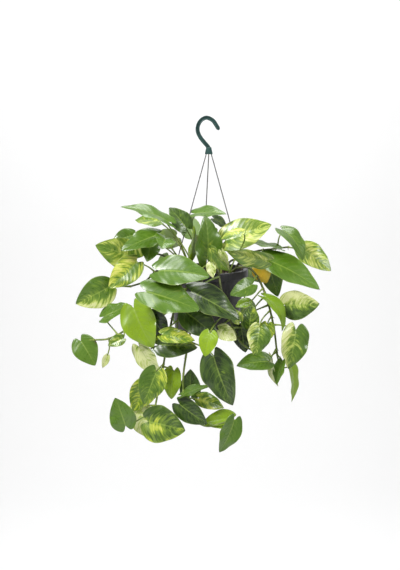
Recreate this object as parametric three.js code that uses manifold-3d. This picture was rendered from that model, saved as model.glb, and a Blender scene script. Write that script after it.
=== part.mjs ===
// A golden pothos growing in a hanging pot: a dark plastic pot with a turned-over rim, potting
// soil, three steel wires that meet in a plastic hook, and a plant whose vines trail over the rim.
// Millimetres. +Z up, +X to the right seen from the front, +Y away from the front.
// The origin is the seat of the hook: the point of the hook's inside that rests on its nail or rail.
import * as THREE from "three";
import { mergeVertices } from "three/addons/utils/BufferGeometryUtils.js";
import Module from "manifold-3d";

const manifold = await Module();
manifold.setup();

// ---- Driving dimensions ---------------------------------------------------------------------

const GAP = 0.35; // clearance between pieces that touch

const POT = {
  rimTop: -316, // height of the rim's top, below the hook's seat
  height: 130,
  rimRadius: 88, // outside of the turned-over rim
  mouthRadius: 80, // outside of the wall where it meets the rim
  baseRadius: 69,
  rimHeight: 16,
  wall: 1.6,
  floor: 2.4,
  segments: 32,
  drainHoles: 8,
  drainRadius: 4.5,
  drainCircle: 44,
};
const SOIL = { belowRim: 8, dome: 4, floorGap: 0.5 };
const WIRE = { diameter: 2.2, sides: 8, holeDiameter: 3.2, tail: 6, hookLength: 5, socketDepth: 9 };
const WIRE_ANGLES = { wire_back: 95, wire_front_right: -25, wire_front_left: -145 }; // from +X to +Y
const HOOK = {
  depth: 8.6, // of the rod, in the plane of the hook
  breadth: 8.0, // of the rod, across the plane of the hook
  web: 2.6,
  flange: 2.0,
  collar: [17, 13, 15], // X, Y, Z
  collarTopShare: 0.62, // width of the collar's top over its bottom
  socketSpacing: 5.6,
};
const STEM = { radius: 2.4, sides: 6, step: 18, rootGap: 0.6 };
const PETIOLE = { radius: 1.5, sides: 4, steps: 3 };
const BLADE = { thickness: 1.7, rows: 4, columns: 2, fold: 14, curl: 0.1, lobe: 0.2 };
const SLIVER = 0.05; // edges shorter than this, left by a join or a cut, are closed up
const OWN_NODE_LENGTH = 69.5; // shorter leaves are part of their vine's node

// The colour of a leaf stands for its pattern: green and dark leaves are plain, the rest are
// splashed, striped or marbled with yellow and cream.
const LEAF_COLOURS = {
  green: 0x6e9646,
  dark: 0x3c6428,
  lime: 0x96be32,
  marbled: 0x8caa5a,
  splash: 0x82a03c,
  yellow: 0xc8d264,
  half: 0xa0b982,
  cream: 0xe1e6aa,
  old: 0xe1be32,
};

// ---- Solids ---------------------------------------------------------------------------------

const vec = ([x, y, z]) => new THREE.Vector3(x, y, z);
const radians = THREE.MathUtils.degToRad;

/** Turn a closed three.js geometry into a manifold solid. */
function toSolid(geometry) {
  const bare = new THREE.BufferGeometry();
  bare.setAttribute("position", geometry.getAttribute("position"));
  bare.setIndex(geometry.index);
  const merged = mergeVertices(bare, 1e-4);
  const corners = merged.index.array;
  const faces = [];
  for (let i = 0; i < corners.length; i += 3) {
    const [a, b, c] = corners.slice(i, i + 3);
    if (a !== b && b !== c && c !== a) faces.push(a, b, c);
  }
  const mesh = new manifold.Mesh({
    numProp: 3,
    vertProperties: Float32Array.from(merged.getAttribute("position").array),
    triVerts: Uint32Array.from(faces),
  });
  return new manifold.Manifold(mesh);
}

/** Turn a manifold solid back into a three.js geometry. */
function toGeometry(solid) {
  const { vertProperties, triVerts } = solid.getMesh();
  const geometry = new THREE.BufferGeometry();
  geometry.setAttribute("position", new THREE.BufferAttribute(Float32Array.from(vertProperties), 3));
  geometry.setIndex(Array.from(triVerts));
  geometry.computeVertexNormals();
  return geometry;
}

/** Close up the slivers that joins and cuts leave, in faces that came from different pieces too. */
function clean(solid) {
  return solid.asOriginal().simplify(SLIVER);
}

/** The outer skin of a solid: a bubble that a curling stalk closes against its blade is filled. */
function outerSkin(solid) {
  return solid.decompose().reduce((a, b) => (b.volume() > a.volume() ? b : a));
}

/** A regular outline with the given number of sides. */
function roundOutline(radius, sides) {
  const corners = Array.from({ length: sides }, (_, i) => {
    const angle = (2 * Math.PI * i) / sides;
    return new THREE.Vector2(radius * Math.cos(angle), radius * Math.sin(angle));
  });
  return new THREE.Shape(corners);
}

/** A solid of one outline, swept along a curve. */
function swept(outline, curve, steps) {
  const tube = new THREE.ExtrudeGeometry(outline, { steps, bevelEnabled: false, extrudePath: curve });
  return toSolid(tube);
}

/** A round bar from one point to another. */
function bar(from, to, radius, sides) {
  return swept(roundOutline(radius, sides), new THREE.LineCurve3(vec(from), vec(to)), 1);
}

/** A solid of revolution about the Z axis, from a profile of [radius, height] points. */
function turned(profile, segments) {
  const outline = profile.map(([radius, height]) => new THREE.Vector2(radius, height));
  const lathe = new THREE.LatheGeometry(outline, segments);
  lathe.rotateX(Math.PI / 2);
  return toSolid(lathe);
}

/** A point on a circle about the pot's axis. */
function onCircle(radius, degrees, height) {
  return [radius * Math.cos(radians(degrees)), radius * Math.sin(radians(degrees)), height];
}

// ---- Pot and soil ---------------------------------------------------------------------------

const potBase = POT.rimTop - POT.height;
const rimGap = (POT.mouthRadius + POT.rimRadius - POT.wall) / 2; // middle of the space in the rim

/** Outside radius of the tapered wall at a height. */
function wallRadius(height) {
  return THREE.MathUtils.mapLinear(height, potBase, POT.rimTop, POT.baseRadius, POT.mouthRadius);
}

/** Height of the soil's surface at a distance from the pot's axis. */
function soilTop(distance) {
  return POT.rimTop - SOIL.belowRim - SOIL.dome * (distance / POT.mouthRadius) ** 2;
}

function makePot() {
  const { rimTop, rimHeight, rimRadius, mouthRadius, baseRadius, wall, floor } = POT;
  const underRim = rimTop - wall;
  const profile = [
    [0, potBase],
    [baseRadius - wall, potBase],
    [baseRadius, potBase + wall],
    [wallRadius(underRim), underRim],
    [rimRadius - wall, underRim],
    [rimRadius - wall, rimTop - rimHeight],
    [rimRadius, rimTop - rimHeight],
    [rimRadius, underRim],
    [rimRadius - wall, rimTop],
    [mouthRadius - wall, rimTop],
    [wallRadius(potBase + floor) - wall, potBase + floor],
    [0, potBase + floor],
  ];
  let pot = turned(profile, POT.segments);
  for (let i = 0; i < POT.drainHoles; i++) {
    const [x, y] = onCircle(POT.drainCircle, (360 * i) / POT.drainHoles, 0);
    pot = pot.subtract(bar([x, y, potBase - 5], [x, y, potBase + 5], POT.drainRadius, 8));
  }
  for (const angle of Object.values(WIRE_ANGLES)) {
    const hole = bar(onCircle(rimGap, angle, rimTop - 4), onCircle(rimGap, angle, rimTop + 4),
      WIRE.holeDiameter / 2, 10);
    pot = pot.subtract(hole);
  }
  return pot;
}

function makeSoil() {
  const bottom = potBase + POT.floor + SOIL.floorGap;
  const clearance = POT.wall + GAP + 0.3;
  const edge = wallRadius(soilTop(POT.mouthRadius)) - clearance;
  const profile = [[0, bottom], [wallRadius(bottom) - clearance, bottom]];
  for (const part of [1, 0.75, 0.5, 0.25, 0]) profile.push([edge * part, soilTop(edge * part)]);
  return turned(profile, POT.segments);
}

// ---- Hook and wires -------------------------------------------------------------------------

const halfRod = HOOK.depth / 2;
const collarTop = -57;
const collarCentre = 3.5;
const collarBottom = collarTop - HOOK.collar[2];

/** The hook's centre line, from its tip over the seat and down to the collar. */
const hookCurve = new THREE.CatmullRomCurve3(
  [
    [25, 0, -21],
    [19, 0, -11],
    [12, 0, -1.5],
    [0, 0, halfRod],
    [-10, 0, 1],
    [-17, 0, -7],
    [-20, 0, -17],
    [-19, 0, -27],
    [-14, 0, -37],
    [-7, 0, -46],
    [0, 0, -54],
    [collarCentre, 0, collarTop - 2],
  ].map(vec),
);

/** The I-shaped section of the hook's rod: two flanges joined by a thin web. */
function hookSection() {
  const across = HOOK.breadth / 2;
  const inner = halfRod - HOOK.flange;
  const web = HOOK.web / 2;
  const corners = [
    [halfRod, -across], [halfRod, across], [inner, across], [inner, web],
    [-inner, web], [-inner, across], [-halfRod, across], [-halfRod, -across],
    [-inner, -across], [-inner, -web], [inner, -web], [inner, -across],
  ];
  return new THREE.Shape(corners.map(([x, y]) => new THREE.Vector2(x, y)));
}

/** Where a wire leaves the collar: side by side along X. */
function socketPlace(index) {
  return collarCentre + (index - 1) * HOOK.socketSpacing;
}

function makeHook() {
  const collar = new THREE.BoxGeometry(...HOOK.collar);
  const corners = collar.attributes.position;
  for (let i = 0; i < corners.count; i++) {
    if (corners.getZ(i) > 0) corners.setX(i, corners.getX(i) * HOOK.collarTopShare);
  }
  collar.translate(collarCentre, 0, collarTop - HOOK.collar[2] / 2);
  let hook = swept(hookSection(), hookCurve, 26).add(toSolid(collar));
  for (let i = 0; i < 3; i++) {
    const x = socketPlace(i);
    const socket = bar([x, 0, collarBottom - 2], [x, 0, collarBottom + WIRE.socketDepth],
      WIRE.holeDiameter / 2, 10);
    hook = hook.subtract(socket);
  }
  return hook;
}

/** A wire: down from its socket in the collar, through the rim and round a small hook below it. */
function makeWire(angle, socket) {
  const radius = WIRE.diameter / 2;
  const x = socketPlace(socket);
  const side = Math.sign(Math.cos(radians(angle)));
  const turn = side * THREE.MathUtils.radToDeg(WIRE.hookLength / rimGap);
  const under = POT.rimTop - WIRE.tail;
  const tail = new THREE.CatmullRomCurve3(
    [
      onCircle(rimGap, angle, POT.rimTop + 5),
      onCircle(rimGap, angle, under + 1),
      onCircle(rimGap, angle + turn * 0.4, under - 1.5),
      onCircle(rimGap, angle + turn, under - 0.5),
      onCircle(rimGap, angle + turn, under + 1),
    ].map(vec),
  );
  return bar([x, 0, collarBottom + WIRE.socketDepth - GAP - 1], [x, 0, collarBottom - 2], radius, WIRE.sides)
    .add(bar([x, 0, collarBottom - 1.5], onCircle(rimGap, angle, POT.rimTop + 4), radius, WIRE.sides))
    .add(swept(roundOutline(radius, WIRE.sides), tail, 8));
}

// ---- Leaves and vines -----------------------------------------------------------------------

/**
 * Each vine has a route, which starts at [x, y] on the soil, and its leaves. A leaf is: name, the
 * base and the tip of its blade, its turn about the line between them (0 faces the front), its
 * half width over its length, how far it bends down along its length in degrees, and its pattern.
 * A crown leaf grows straight from the soil, at the [x, y] that ends its row.
 */
const VINES = {
  "crown": { "route": [], "leaves": [
    ["top_left_long", [-82, -72, -207], [-178, -85, -176], 68, 0.27, 30, "green", [-28, -50]],
    ["top_left_dark", [-45, -46, -222], [-80, -36, -182], 20, 0.42, 20, "dark", [-12, -12]],
    ["top_left_behind", [-100, 0, -215], [-155, 30, -215], 60, 0.40, 15, "marbled", [-40, 10]],
    ["left_wavy", [-85, -92, -240], [-92, -137, -257], 0, 0.48, 30, "green", [-42, -58]],
    ["left_bright", [-105, -70, -236], [-178, -95, -266], 45, 0.32, 25, "green", [-58, -14]],
    ["left_sheen", [-120, -50, -250], [-125, -85, -290], -15, 0.45, 20, "green", [-46, -6]],
    ["centre_upright", [0, -62, -286], [-5, -60, -195], 30, 0.36, 20, "green", [0, -44]],
    ["centre_edge_on", [-38, -76, -288], [-28, -68, -215], 70, 0.34, 20, "lime", [-18, -50]],
    ["top_flat", [-25, -30, -195], [40, -45, -195], -65, 0.36, 20, "green", [0, 5]],
    ["top_right_marbled", [42, -39, -249], [135, -43, -217], -30, 0.37, 25, "marbled", [30, -4]],
    ["top_right_yellow", [70, -101, -226], [28, -110, -240], 50, 0.28, 20, "yellow", [46, -53]],
    ["right_tongue", [10, -120, -262], [45, -135, -302], 50, 0.36, 20, "marbled", [6, -70]],
    ["back_upright", [-30, 50, -245], [-60, 80, -200], 180, 0.38, 25, "green", [-15, 25]],
    ["back_wide", [20, 75, -250], [-30, 115, -290], 160, 0.38, 30, "marbled", [0, 40]],
    ["back_right_tall", [50, 45, -250], [105, 80, -235], 150, 0.38, 25, "dark", [25, 25]],
    ["back_left_flat", [-70, 55, -255], [-120, 95, -280], 170, 0.38, 25, "lime", [-40, 35]]
  ] },
  "vine_left_high": { "route": [[-56, 0], [-72, -8, -300], [-100, -16, -284], [-130, -20, -282]],
    "leaves": [
    ["left_marbled", [-155, -30, -290], [-235, -45, -260], 10, 0.40, 15, "marbled"],
    ["left_shade", [-130, -15, -260], [-170, 0, -285], 10, 0.42, 15, "dark"],
    ["left_small_high", [-160, 5, -245], [-205, 0, -260], 25, 0.42, 20, "green"]
  ] },
  "vine_left_mid": { "route": [[-54, -24], [-76, -34, -306], [-92, -42, -308], [-112, -52, -318], [-130, -58, -335],
      [-160, -62, -345]], "leaves": [
    ["left_yellow", [-150, -75, -295], [-205, -85, -345], 10, 0.38, 20, "yellow"],
    ["left_half_cream", [-208, -65, -347], [-275, -75, -380], 0, 0.45, 20, "half"]
  ] },
  "vine_left_low": { "route": [[-44, -42], [-60, -62, -306], [-80, -82, -312], [-105, -100, -350], [-140, -110, -400],
      [-170, -105, -430], [-205, -95, -450], [-235, -85, -455]], "leaves": [
    ["left_folded", [-215, -85, -405], [-155, -100, -380], -55, 0.36, 30, "green"],
    ["left_big_lime", [-150, -130, -380], [-110, -140, -460], 5, 0.42, 25, "lime"],
    ["left_far_heart", [-265, -75, -460], [-235, -85, -510], 0, 0.48, 20, "green"],
    ["left_tiny", [-175, -120, -445], [-205, -120, -460], 20, 0.40, 10, "marbled"],
    ["left_newest", [-210, -85, -490], [-220, -85, -515], 0, 0.30, 10, "cream"]
  ] },
  "vine_long_left": { "route": [[-30, -54], [-37, -75, -307], [-46, -94, -315], [-64, -108, -370], [-80, -112, -440],
      [-94, -114, -520], [-108, -110, -590], [-112, -106, -635]], "leaves": [
    ["long_left_cream", [-140, -110, -465], [-95, -125, -520], 30, 0.38, 20, "cream"],
    ["long_left_splash", [-105, -150, -510], [-130, -155, -575], 0, 0.42, 20, "splash"],
    ["long_left_under", [-125, -105, -545], [-155, -100, -605], 0, 0.42, 15, "yellow"],
    ["long_left_olive", [-170, -135, -625], [-190, -140, -565], 0, 0.45, 15, "green"],
    ["long_left_big", [-120, -155, -612], [-45, -165, -628], -5, 0.52, 20, "splash"],
    ["long_left_striped", [-145, -94, -600], [-120, -94, -665], 0, 0.42, 15, "cream"],
    ["long_left_inner", [-70, -100, -520], [-75, -95, -580], 30, 0.42, 20, "lime"]
  ] },
  "vine_long_centre": { "route": [[-6, -60], [-7, -83, -307], [-9, -100, -318], [-24, -106, -380], [-42, -118, -470],
      [-50, -120, -540], [-40, -120, -600], [-5, -122, -630], [40, -128, -620]], "leaves": [
    ["long_centre_dark", [-35, -100, -570], [-35, -95, -515], 0, 0.42, 15, "dark"],
    ["long_centre_big", [14, -150, -480], [52, -165, -575], 20, 0.37, 20, "dark"],
    ["long_centre_edge_on", [-50, -135, -560], [5, -145, -540], -75, 0.34, 15, "green"],
    ["long_centre_half", [-56, -138, -580], [0, -144, -620], 0, 0.36, 20, "dark"],
    ["long_centre_splash", [-15, -110, -575], [35, -110, -595], -30, 0.34, 15, "yellow"],
    ["long_centre_low", [50, -110, -618], [-10, -110, -628], 30, 0.36, 15, "lime"],
    ["long_centre_last", [55, -140, -615], [25, -145, -680], -25, 0.36, 20, "green"]
  ] },
  "vine_front": { "route": [[-17, -58], [-22, -81, -307], [-30, -102, -316], [-46, -122, -350], [-60, -126, -400],
      [-62, -118, -440]], "leaves": [
    ["front_big_upper", [-95, -150, -300], [5, -165, -310], -40, 0.36, 20, "green"],
    ["front_big_lower", [-120, -165, -340], [-15, -180, -375], -40, 0.36, 20, "green"],
    ["front_dark_veined", [-40, -133, -390], [20, -144, -436], -20, 0.42, 20, "dark"],
    ["front_shade", [-115, -130, -395], [-85, -125, -445], 0, 0.42, 15, "dark"],
    ["front_splash", [-88, -157, -430], [-25, -164, -440], -50, 0.34, 20, "yellow"],
    ["front_low", [-100, -136, -455], [-20, -140, -460], -20, 0.34, 15, "splash"],
    ["crown_new", [8, -102, -292], [12, -110, -320], 20, 0.40, 10, "cream"]
  ] },
  "vine_front_right": { "route": [[16, -60], [20, -82, -307], [24, -98, -318], [30, -106, -350], [44, -110, -400],
      [66, -114, -450], [96, -112, -474]], "leaves": [
    ["front_right_gloss", [-30, -140, -345], [65, -150, -400], -45, 0.34, 25, "dark"],
    ["front_lime_tip", [5, -170, -425], [-5, -180, -470], 0, 0.42, 25, "lime"],
    ["front_right_cream", [25, -130, -425], [60, -135, -445], -25, 0.45, 15, "cream"],
    ["front_right_upright", [87, -117, -420], [91, -111, -375], 10, 0.44, 15, "splash"],
    ["right_tongue_pale", [30, -102, -268], [45, -107, -305], 50, 0.40, 15, "cream"]
  ] },
  "vine_right_low": { "route": [[46, -40], [70, -50, -306], [90, -58, -308], [108, -66, -330], [125, -70, -370],
      [140, -72, -430], [148, -72, -490], [155, -70, -520]], "leaves": [
    ["front_right_sheen", [107, -131, -421], [96, -145, -475], -10, 0.46, 20, "half"],
    ["front_right_shade", [70, -94, -420], [80, -94, -480], 0, 0.40, 15, "dark"],
    ["front_right_fresh", [65, -128, -405], [45, -130, -380], 20, 0.42, 15, "yellow"],
    ["front_right_lime", [125, -100, -420], [120, -95, -460], 0, 0.45, 15, "yellow"],
    ["front_right_lower", [125, -108, -496], [60, -128, -501], 45, 0.36, 20, "green"],
    ["right_gloss", [92, -95, -336], [46, -120, -354], 20, 0.36, 20, "green"],
    ["right_small_lime", [86, -92, -372], [58, -105, -382], 45, 0.40, 15, "lime"],
    ["right_arching", [121, -90, -364], [155, -95, -435], -55, 0.26, 95, "lime"],
    ["right_half_pale", [166, -60, -385], [235, -75, -380], 0, 0.46, 20, "half"],
    ["right_half_yellow", [185, -85, -435], [170, -95, -515], -15, 0.40, 20, "half"],
    ["right_narrow", [155, -100, -500], [145, -110, -545], 50, 0.36, 15, "green"],
    ["right_narrow_cream", [130, -80, -495], [150, -85, -555], 60, 0.30, 20, "cream"],
    ["right_last", [180, -55, -520], [180, -60, -595], -60, 0.30, 35, "lime"]
  ] },
  "vine_right_high": { "route": [[58, -8], [76, -8, -294], [104, -10, -278], [140, -14, -272],
      [172, -14, -268]], "leaves": [
    ["right_margined", [120, -100, -285], [40, -110, -265], -35, 0.32, 20, "marbled"],
    ["right_edge_on", [150, -32, -268], [80, -58, -252], 78, 0.26, 10, "green"],
    ["right_long", [130, -56, -292], [235, -75, -350], -45, 0.30, 15, "green"],
    ["right_drooping", [160, -40, -230], [200, -65, -290], -50, 0.36, 60, "green"],
    ["right_far", [205, 0, -275], [265, -10, -320], -35, 0.40, 20, "marbled"],
    ["right_old", [112, -36, -306], [126, -40, -342], 0, 0.55, 15, "old"],
    ["right_pointed", [132, -12, -305], [152, -10, -376], 0, 0.34, 15, "green"]
  ] },
  "vine_back_left": { "route": [[-32, 48], [-46, 70, -307], [-58, 90, -312], [-66, 104, -340], [-70, 112, -380],
      [-66, 114, -430]], "leaves": [
    ["back_left_high", [-85, 120, -310], [-105, 135, -365], 180, 0.38, 20, "green"],
    ["back_left_mid", [-45, 130, -345], [-30, 140, -405], 190, 0.38, 20, "splash"],
    ["back_left_side", [-85, 125, -390], [-100, 130, -445], 170, 0.40, 15, "marbled"],
    ["back_left_low", [-62, 130, -435], [-50, 135, -490], 180, 0.38, 15, "green"]
  ] },
  "vine_back_centre": { "route": [[4, 56], [7, 80, -307], [10, 98, -314], [14, 108, -350], [12, 112, -400],
      [6, 112, -440]], "leaves": [
    ["back_centre_high", [30, 125, -325], [50, 140, -380], 185, 0.38, 20, "yellow"],
    ["back_centre_mid", [-5, 130, -385], [-15, 135, -435], 180, 0.40, 15, "green"],
    ["back_centre_side", [30, 125, -415], [40, 130, -465], 180, 0.38, 15, "half"],
    ["back_centre_low", [5, 130, -450], [0, 130, -505], 180, 0.36, 15, "lime"]
  ] },
  "vine_back_right": { "route": [[40, 44], [55, 62, -307], [70, 78, -312], [80, 90, -345], [84, 96, -390]],
    "leaves": [
    ["back_right_high", [95, 95, -320], [125, 115, -365], 170, 0.38, 20, "splash"],
    ["back_right_mid", [70, 115, -365], [60, 125, -415], 190, 0.38, 15, "green"],
    ["back_right_low", [88, 105, -410], [100, 110, -465], 180, 0.38, 15, "marbled"],
    ["top_small", [15, 10, -210], [45, 20, -230], -50, 0.40, 15, "dark"]
  ] }
};

/** Half width of a blade, from 0 at the tip to 1 at its widest, along its midrib from 0 to 1. */
const outline = (along) => Math.sin(Math.PI * ((along + 0.03) / 1.03) ** 0.6) ** 0.8;

/** The surface of a blade: a function from (along, across, lift) to a point. */
function bladeSurface({ base, tip, turn, width, bend }) {
  const start = vec(base);
  const chord = vec(tip).sub(start);
  const length = chord.length();
  const ahead = chord.normalize();
  const front = new THREE.Vector3(0, -1, 0);
  const up = front.addScaledVector(ahead, -front.dot(ahead)).normalize();
  up.applyAxisAngle(ahead, radians(turn));
  const side = new THREE.Vector3().crossVectors(ahead, up);
  const arc = radians(bend);
  const radius = length / (2 * Math.sin(arc / 2));
  const fold = radians(BLADE.fold);

  return (along, across, lift = 0) => {
    const angle = arc * (along - 0.5);
    const forward = ahead.clone().multiplyScalar(Math.cos(angle)).addScaledVector(up, -Math.sin(angle));
    const normal = ahead.clone().multiplyScalar(Math.sin(angle)).addScaledVector(up, Math.cos(angle));
    const half = width * length * outline(along);
    const lobe = BLADE.lobe * length * (1 - along) ** 4 * (1 - (1 - Math.abs(across)) ** 2);
    return start
      .clone()
      .addScaledVector(ahead, radius * (Math.sin(angle) + Math.sin(arc / 2)))
      .addScaledVector(up, radius * (Math.cos(angle) - Math.cos(arc / 2)))
      .addScaledVector(forward, -lobe)
      .addScaledVector(side, across * half * Math.cos(fold))
      .addScaledVector(normal, Math.abs(across) * half * Math.sin(fold) - BLADE.curl * half * across ** 2 + lift);
  };
}

/** A closed blade: two sheets that share their outline and are thickest along the midrib. */
function makeBlade(leaf) {
  const surface = bladeSurface(leaf);
  const { rows, columns, thickness } = BLADE;
  const positions = [];
  const faces = [];
  const corners = new Map();
  const corner = (row, column, face) => {
    const along = row / rows;
    const across = row === rows ? 0 : column / columns;
    const onEdge = row === 0 || row === rows || Math.abs(across) === 1;
    const key = [row, across, onEdge ? 0 : face].join();
    if (!corners.has(key)) {
      const lift = onEdge ? 0 : (face * thickness * (1 - across ** 2)) / 2;
      corners.set(key, positions.length / 3);
      positions.push(...surface(along, across, lift).toArray());
    }
    return corners.get(key);
  };
  for (const face of [1, -1]) {
    for (let row = 0; row < rows; row++) {
      for (let column = -columns; column < columns; column++) {
        const a = corner(row, column, face);
        const b = corner(row, column + 1, face);
        const c = corner(row + 1, column + 1, face);
        const d = corner(row + 1, column, face);
        const quad = face > 0 ? [a, b, c, a, c, d] : [a, c, b, a, d, c];
        faces.push(...quad);
      }
    }
  }
  const geometry = new THREE.BufferGeometry();
  geometry.setAttribute("position", new THREE.Float32BufferAttribute(positions, 3));
  geometry.setIndex(faces);
  return toSolid(geometry);
}

/** A leaf stalk from a foot to the blade's base, where it arrives from behind and below. */
function makePetiole(leaf, foot, firstDirection) {
  const surface = bladeSurface(leaf);
  const end = surface(0.06, 0, -0.3);
  const forward = surface(0.02, 0).sub(surface(0, 0)).normalize();
  const normal = surface(0, 0, 1).sub(surface(0, 0)).normalize();
  const reach = foot.distanceTo(end);
  const leave = foot.clone().addScaledVector(firstDirection, 0.35 * reach);
  const arrive = end.clone().addScaledVector(forward, -0.3 * reach).addScaledVector(normal, -0.16 * reach);
  const curve = new THREE.CubicBezierCurve3(foot, leave, arrive, end);
  return swept(roundOutline(PETIOLE.radius, PETIOLE.sides), curve, PETIOLE.steps);
}

/** A point on the soil, just above its surface. */
function rootPoint([x, y]) {
  return new THREE.Vector3(x, y, soilTop(Math.hypot(x, y)) + STEM.rootGap);
}

/** A vine's centre line: straight up out of the soil, then through its route. */
function vineCurve(route) {
  const root = rootPoint(route[0]);
  const above = root.clone().add(new THREE.Vector3(0, 0, 8));
  return new THREE.CatmullRomCurve3([root, above, ...route.slice(1).map(vec)], false, "catmullrom");
}

/** Where a leaf's stalk leaves its vine: the nearest point, and a little further back. */
function stalkPlace(curve, base) {
  const samples = 80;
  let nearest = 0;
  for (let i = 0; i <= samples; i++) {
    const here = curve.getPointAt(i / samples).distanceTo(base);
    if (here < curve.getPointAt(nearest).distanceTo(base)) nearest = i / samples;
  }
  if (nearest === 1) return 1;
  const back = 0.3 * curve.getPointAt(nearest).distanceTo(base);
  return Math.max(0.02, nearest - back / curve.getLength());
}

function readLeaf([name, base, tip, turn, width, bend, pattern, root]) {
  return { name, base, tip, turn, width, bend, pattern, root };
}

/** A crown leaf: a blade on a stalk that rises from the soil. */
function makeCrownLeaf(leaf) {
  const upward = new THREE.Vector3(0, 0, 1);
  return makeBlade(leaf).add(makePetiole(leaf, rootPoint(leaf.root), upward));
}

/** A leaf on a vine. Its stalk starts at the vine's centre line, or just clear of its skin. */
function makeVineLeaf(leaf, curve, distance) {
  const place = stalkPlace(curve, vec(leaf.base));
  const centre = curve.getPointAt(place);
  const direction = vec(leaf.base).sub(centre);
  const tangent = curve.getTangentAt(place);
  if (place < 1) direction.addScaledVector(tangent, -0.7 * direction.dot(tangent));
  direction.normalize();
  const foot = centre.clone().addScaledVector(direction, distance);
  return makeBlade(leaf).add(makePetiole(leaf, foot, direction));
}

function makeVine(curve) {
  const steps = Math.round(curve.getLength() / STEM.step);
  return swept(roundOutline(STEM.radius, STEM.sides), curve, steps);
}

// ---- The scene graph ------------------------------------------------------------------------

const plant = new THREE.Group();

function addPiece(name, solid, colour, roughness, metalness = 0) {
  const material = new THREE.MeshStandardMaterial({ color: colour, roughness, metalness });
  const mesh = new THREE.Mesh(toGeometry(clean(solid)), material);
  mesh.name = name;
  plant.add(mesh);
}

addPiece("pot", makePot(), 0x26292b, 0.45);
addPiece("soil", makeSoil(), 0x4a3426, 0.95);
addPiece("hook", makeHook(), 0x28504a, 0.4);
Object.entries(WIRE_ANGLES).forEach(([name, angle]) => {
  const socket = { wire_front_left: 0, wire_back: 1, wire_front_right: 2 }[name];
  addPiece(name, makeWire(angle, socket), 0x8c9196, 0.3, 1);
});

for (const [vine, { route, leaves }] of Object.entries(VINES)) {
  const curve = route.length > 0 ? vineCurve(route) : null;
  let stem = curve && makeVine(curve);
  for (const leaf of leaves.map(readLeaf)) {
    const length = vec(leaf.tip).distanceTo(vec(leaf.base));
    if (!curve) addPiece(`leaf_${leaf.name}`, makeCrownLeaf(leaf), LEAF_COLOURS[leaf.pattern], 0.35);
    else if (length < OWN_NODE_LENGTH) stem = stem.add(makeVineLeaf(leaf, curve, 0));
    else {
      const clear = STEM.radius + PETIOLE.radius + GAP;
      addPiece(`leaf_${leaf.name}`, makeVineLeaf(leaf, curve, clear), LEAF_COLOURS[leaf.pattern], 0.35);
    }
  }
  if (stem) addPiece(vine, outerSkin(clean(stem)), 0x6b7a3c, 0.5);
}

export default plant;
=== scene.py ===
# %% [markdown]
# # A pothos in a hanging pot
#
# The real object is a trailing houseplant in a plastic pot, hung by three steel wires from a
# plastic hook. The imported model gives the frame: where each piece is and how big it is. This
# script gives each piece its true surface. It starts by loading the frame, and keeps the box
# of the plain model, which sets where the floor is.

# %% Load the frame
import random
from math import cos, degrees, hypot, pi, radians, sin

import bmesh
import bpy
from mathutils import Matrix, Vector


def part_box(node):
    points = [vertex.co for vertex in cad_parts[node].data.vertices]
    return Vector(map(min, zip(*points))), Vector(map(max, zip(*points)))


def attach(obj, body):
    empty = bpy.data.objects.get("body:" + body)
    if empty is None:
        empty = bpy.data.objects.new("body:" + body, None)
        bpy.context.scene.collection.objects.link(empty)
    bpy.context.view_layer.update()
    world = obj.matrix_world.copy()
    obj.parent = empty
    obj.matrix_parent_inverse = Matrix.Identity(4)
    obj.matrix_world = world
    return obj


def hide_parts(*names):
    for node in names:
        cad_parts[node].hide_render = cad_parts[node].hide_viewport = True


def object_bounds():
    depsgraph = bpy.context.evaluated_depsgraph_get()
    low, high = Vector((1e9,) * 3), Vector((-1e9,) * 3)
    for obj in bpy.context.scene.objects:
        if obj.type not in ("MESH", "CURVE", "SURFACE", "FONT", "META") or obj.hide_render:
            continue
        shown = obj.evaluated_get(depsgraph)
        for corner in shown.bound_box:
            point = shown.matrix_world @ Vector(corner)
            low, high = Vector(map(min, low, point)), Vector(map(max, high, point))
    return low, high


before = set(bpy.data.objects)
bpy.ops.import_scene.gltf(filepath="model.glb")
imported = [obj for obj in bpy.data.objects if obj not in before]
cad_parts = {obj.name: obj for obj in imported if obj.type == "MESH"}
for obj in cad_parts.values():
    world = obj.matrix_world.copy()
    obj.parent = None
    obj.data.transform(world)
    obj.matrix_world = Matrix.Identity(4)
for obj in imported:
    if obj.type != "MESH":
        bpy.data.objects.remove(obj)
cad_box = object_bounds()
MM = 0.001  # the lists below are in millimetres, Blender's world is in metres
print("plain model, m:", [round(high - low, 3) for low, high in zip(*cad_box)])

# %% [markdown]
# ## The studio
#
# The plant hangs in front of a pale sheet that curves from the wall into the floor, so that
# no edge shows. An even white sky lights all sides, three large soft lamps add the sheen that
# waxy leaves have, and a fourth lights the sheet. The camera stands a little above the pot and
# looks slightly down.

# %% Camera
scene = bpy.context.scene
scene.view_settings.view_transform = "Standard"
CAMERA_TARGET = Vector((-0.015, 0, -0.352))
CAMERA_DISTANCE = 2.5
CAMERA_ELEVATION = radians(9)
CAMERA_LENS = 73.4  # millimetres

camera = bpy.data.objects.new("camera", bpy.data.cameras.new("camera"))
camera.data.lens = CAMERA_LENS
camera.data.sensor_width = 36
away = Vector((0, -cos(CAMERA_ELEVATION), sin(CAMERA_ELEVATION)))
camera.location = CAMERA_TARGET + CAMERA_DISTANCE * away
camera.rotation_euler = (-away).to_track_quat("-Z", "Y").to_euler()
scene.collection.objects.link(camera)
scene.camera = camera
print("camera at", [round(c, 2) for c in camera.location])

# %% Backdrop
FLOOR_DROP = 1.3  # how far below the lowest leaf the floor is
FLOOR_FRONT = -6
BEND_RADIUS = 1.2
BEND_STEPS = 12
WALL_AT = 4.5
WALL_HEIGHT = 5
SHEET_HALF = 7


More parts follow.
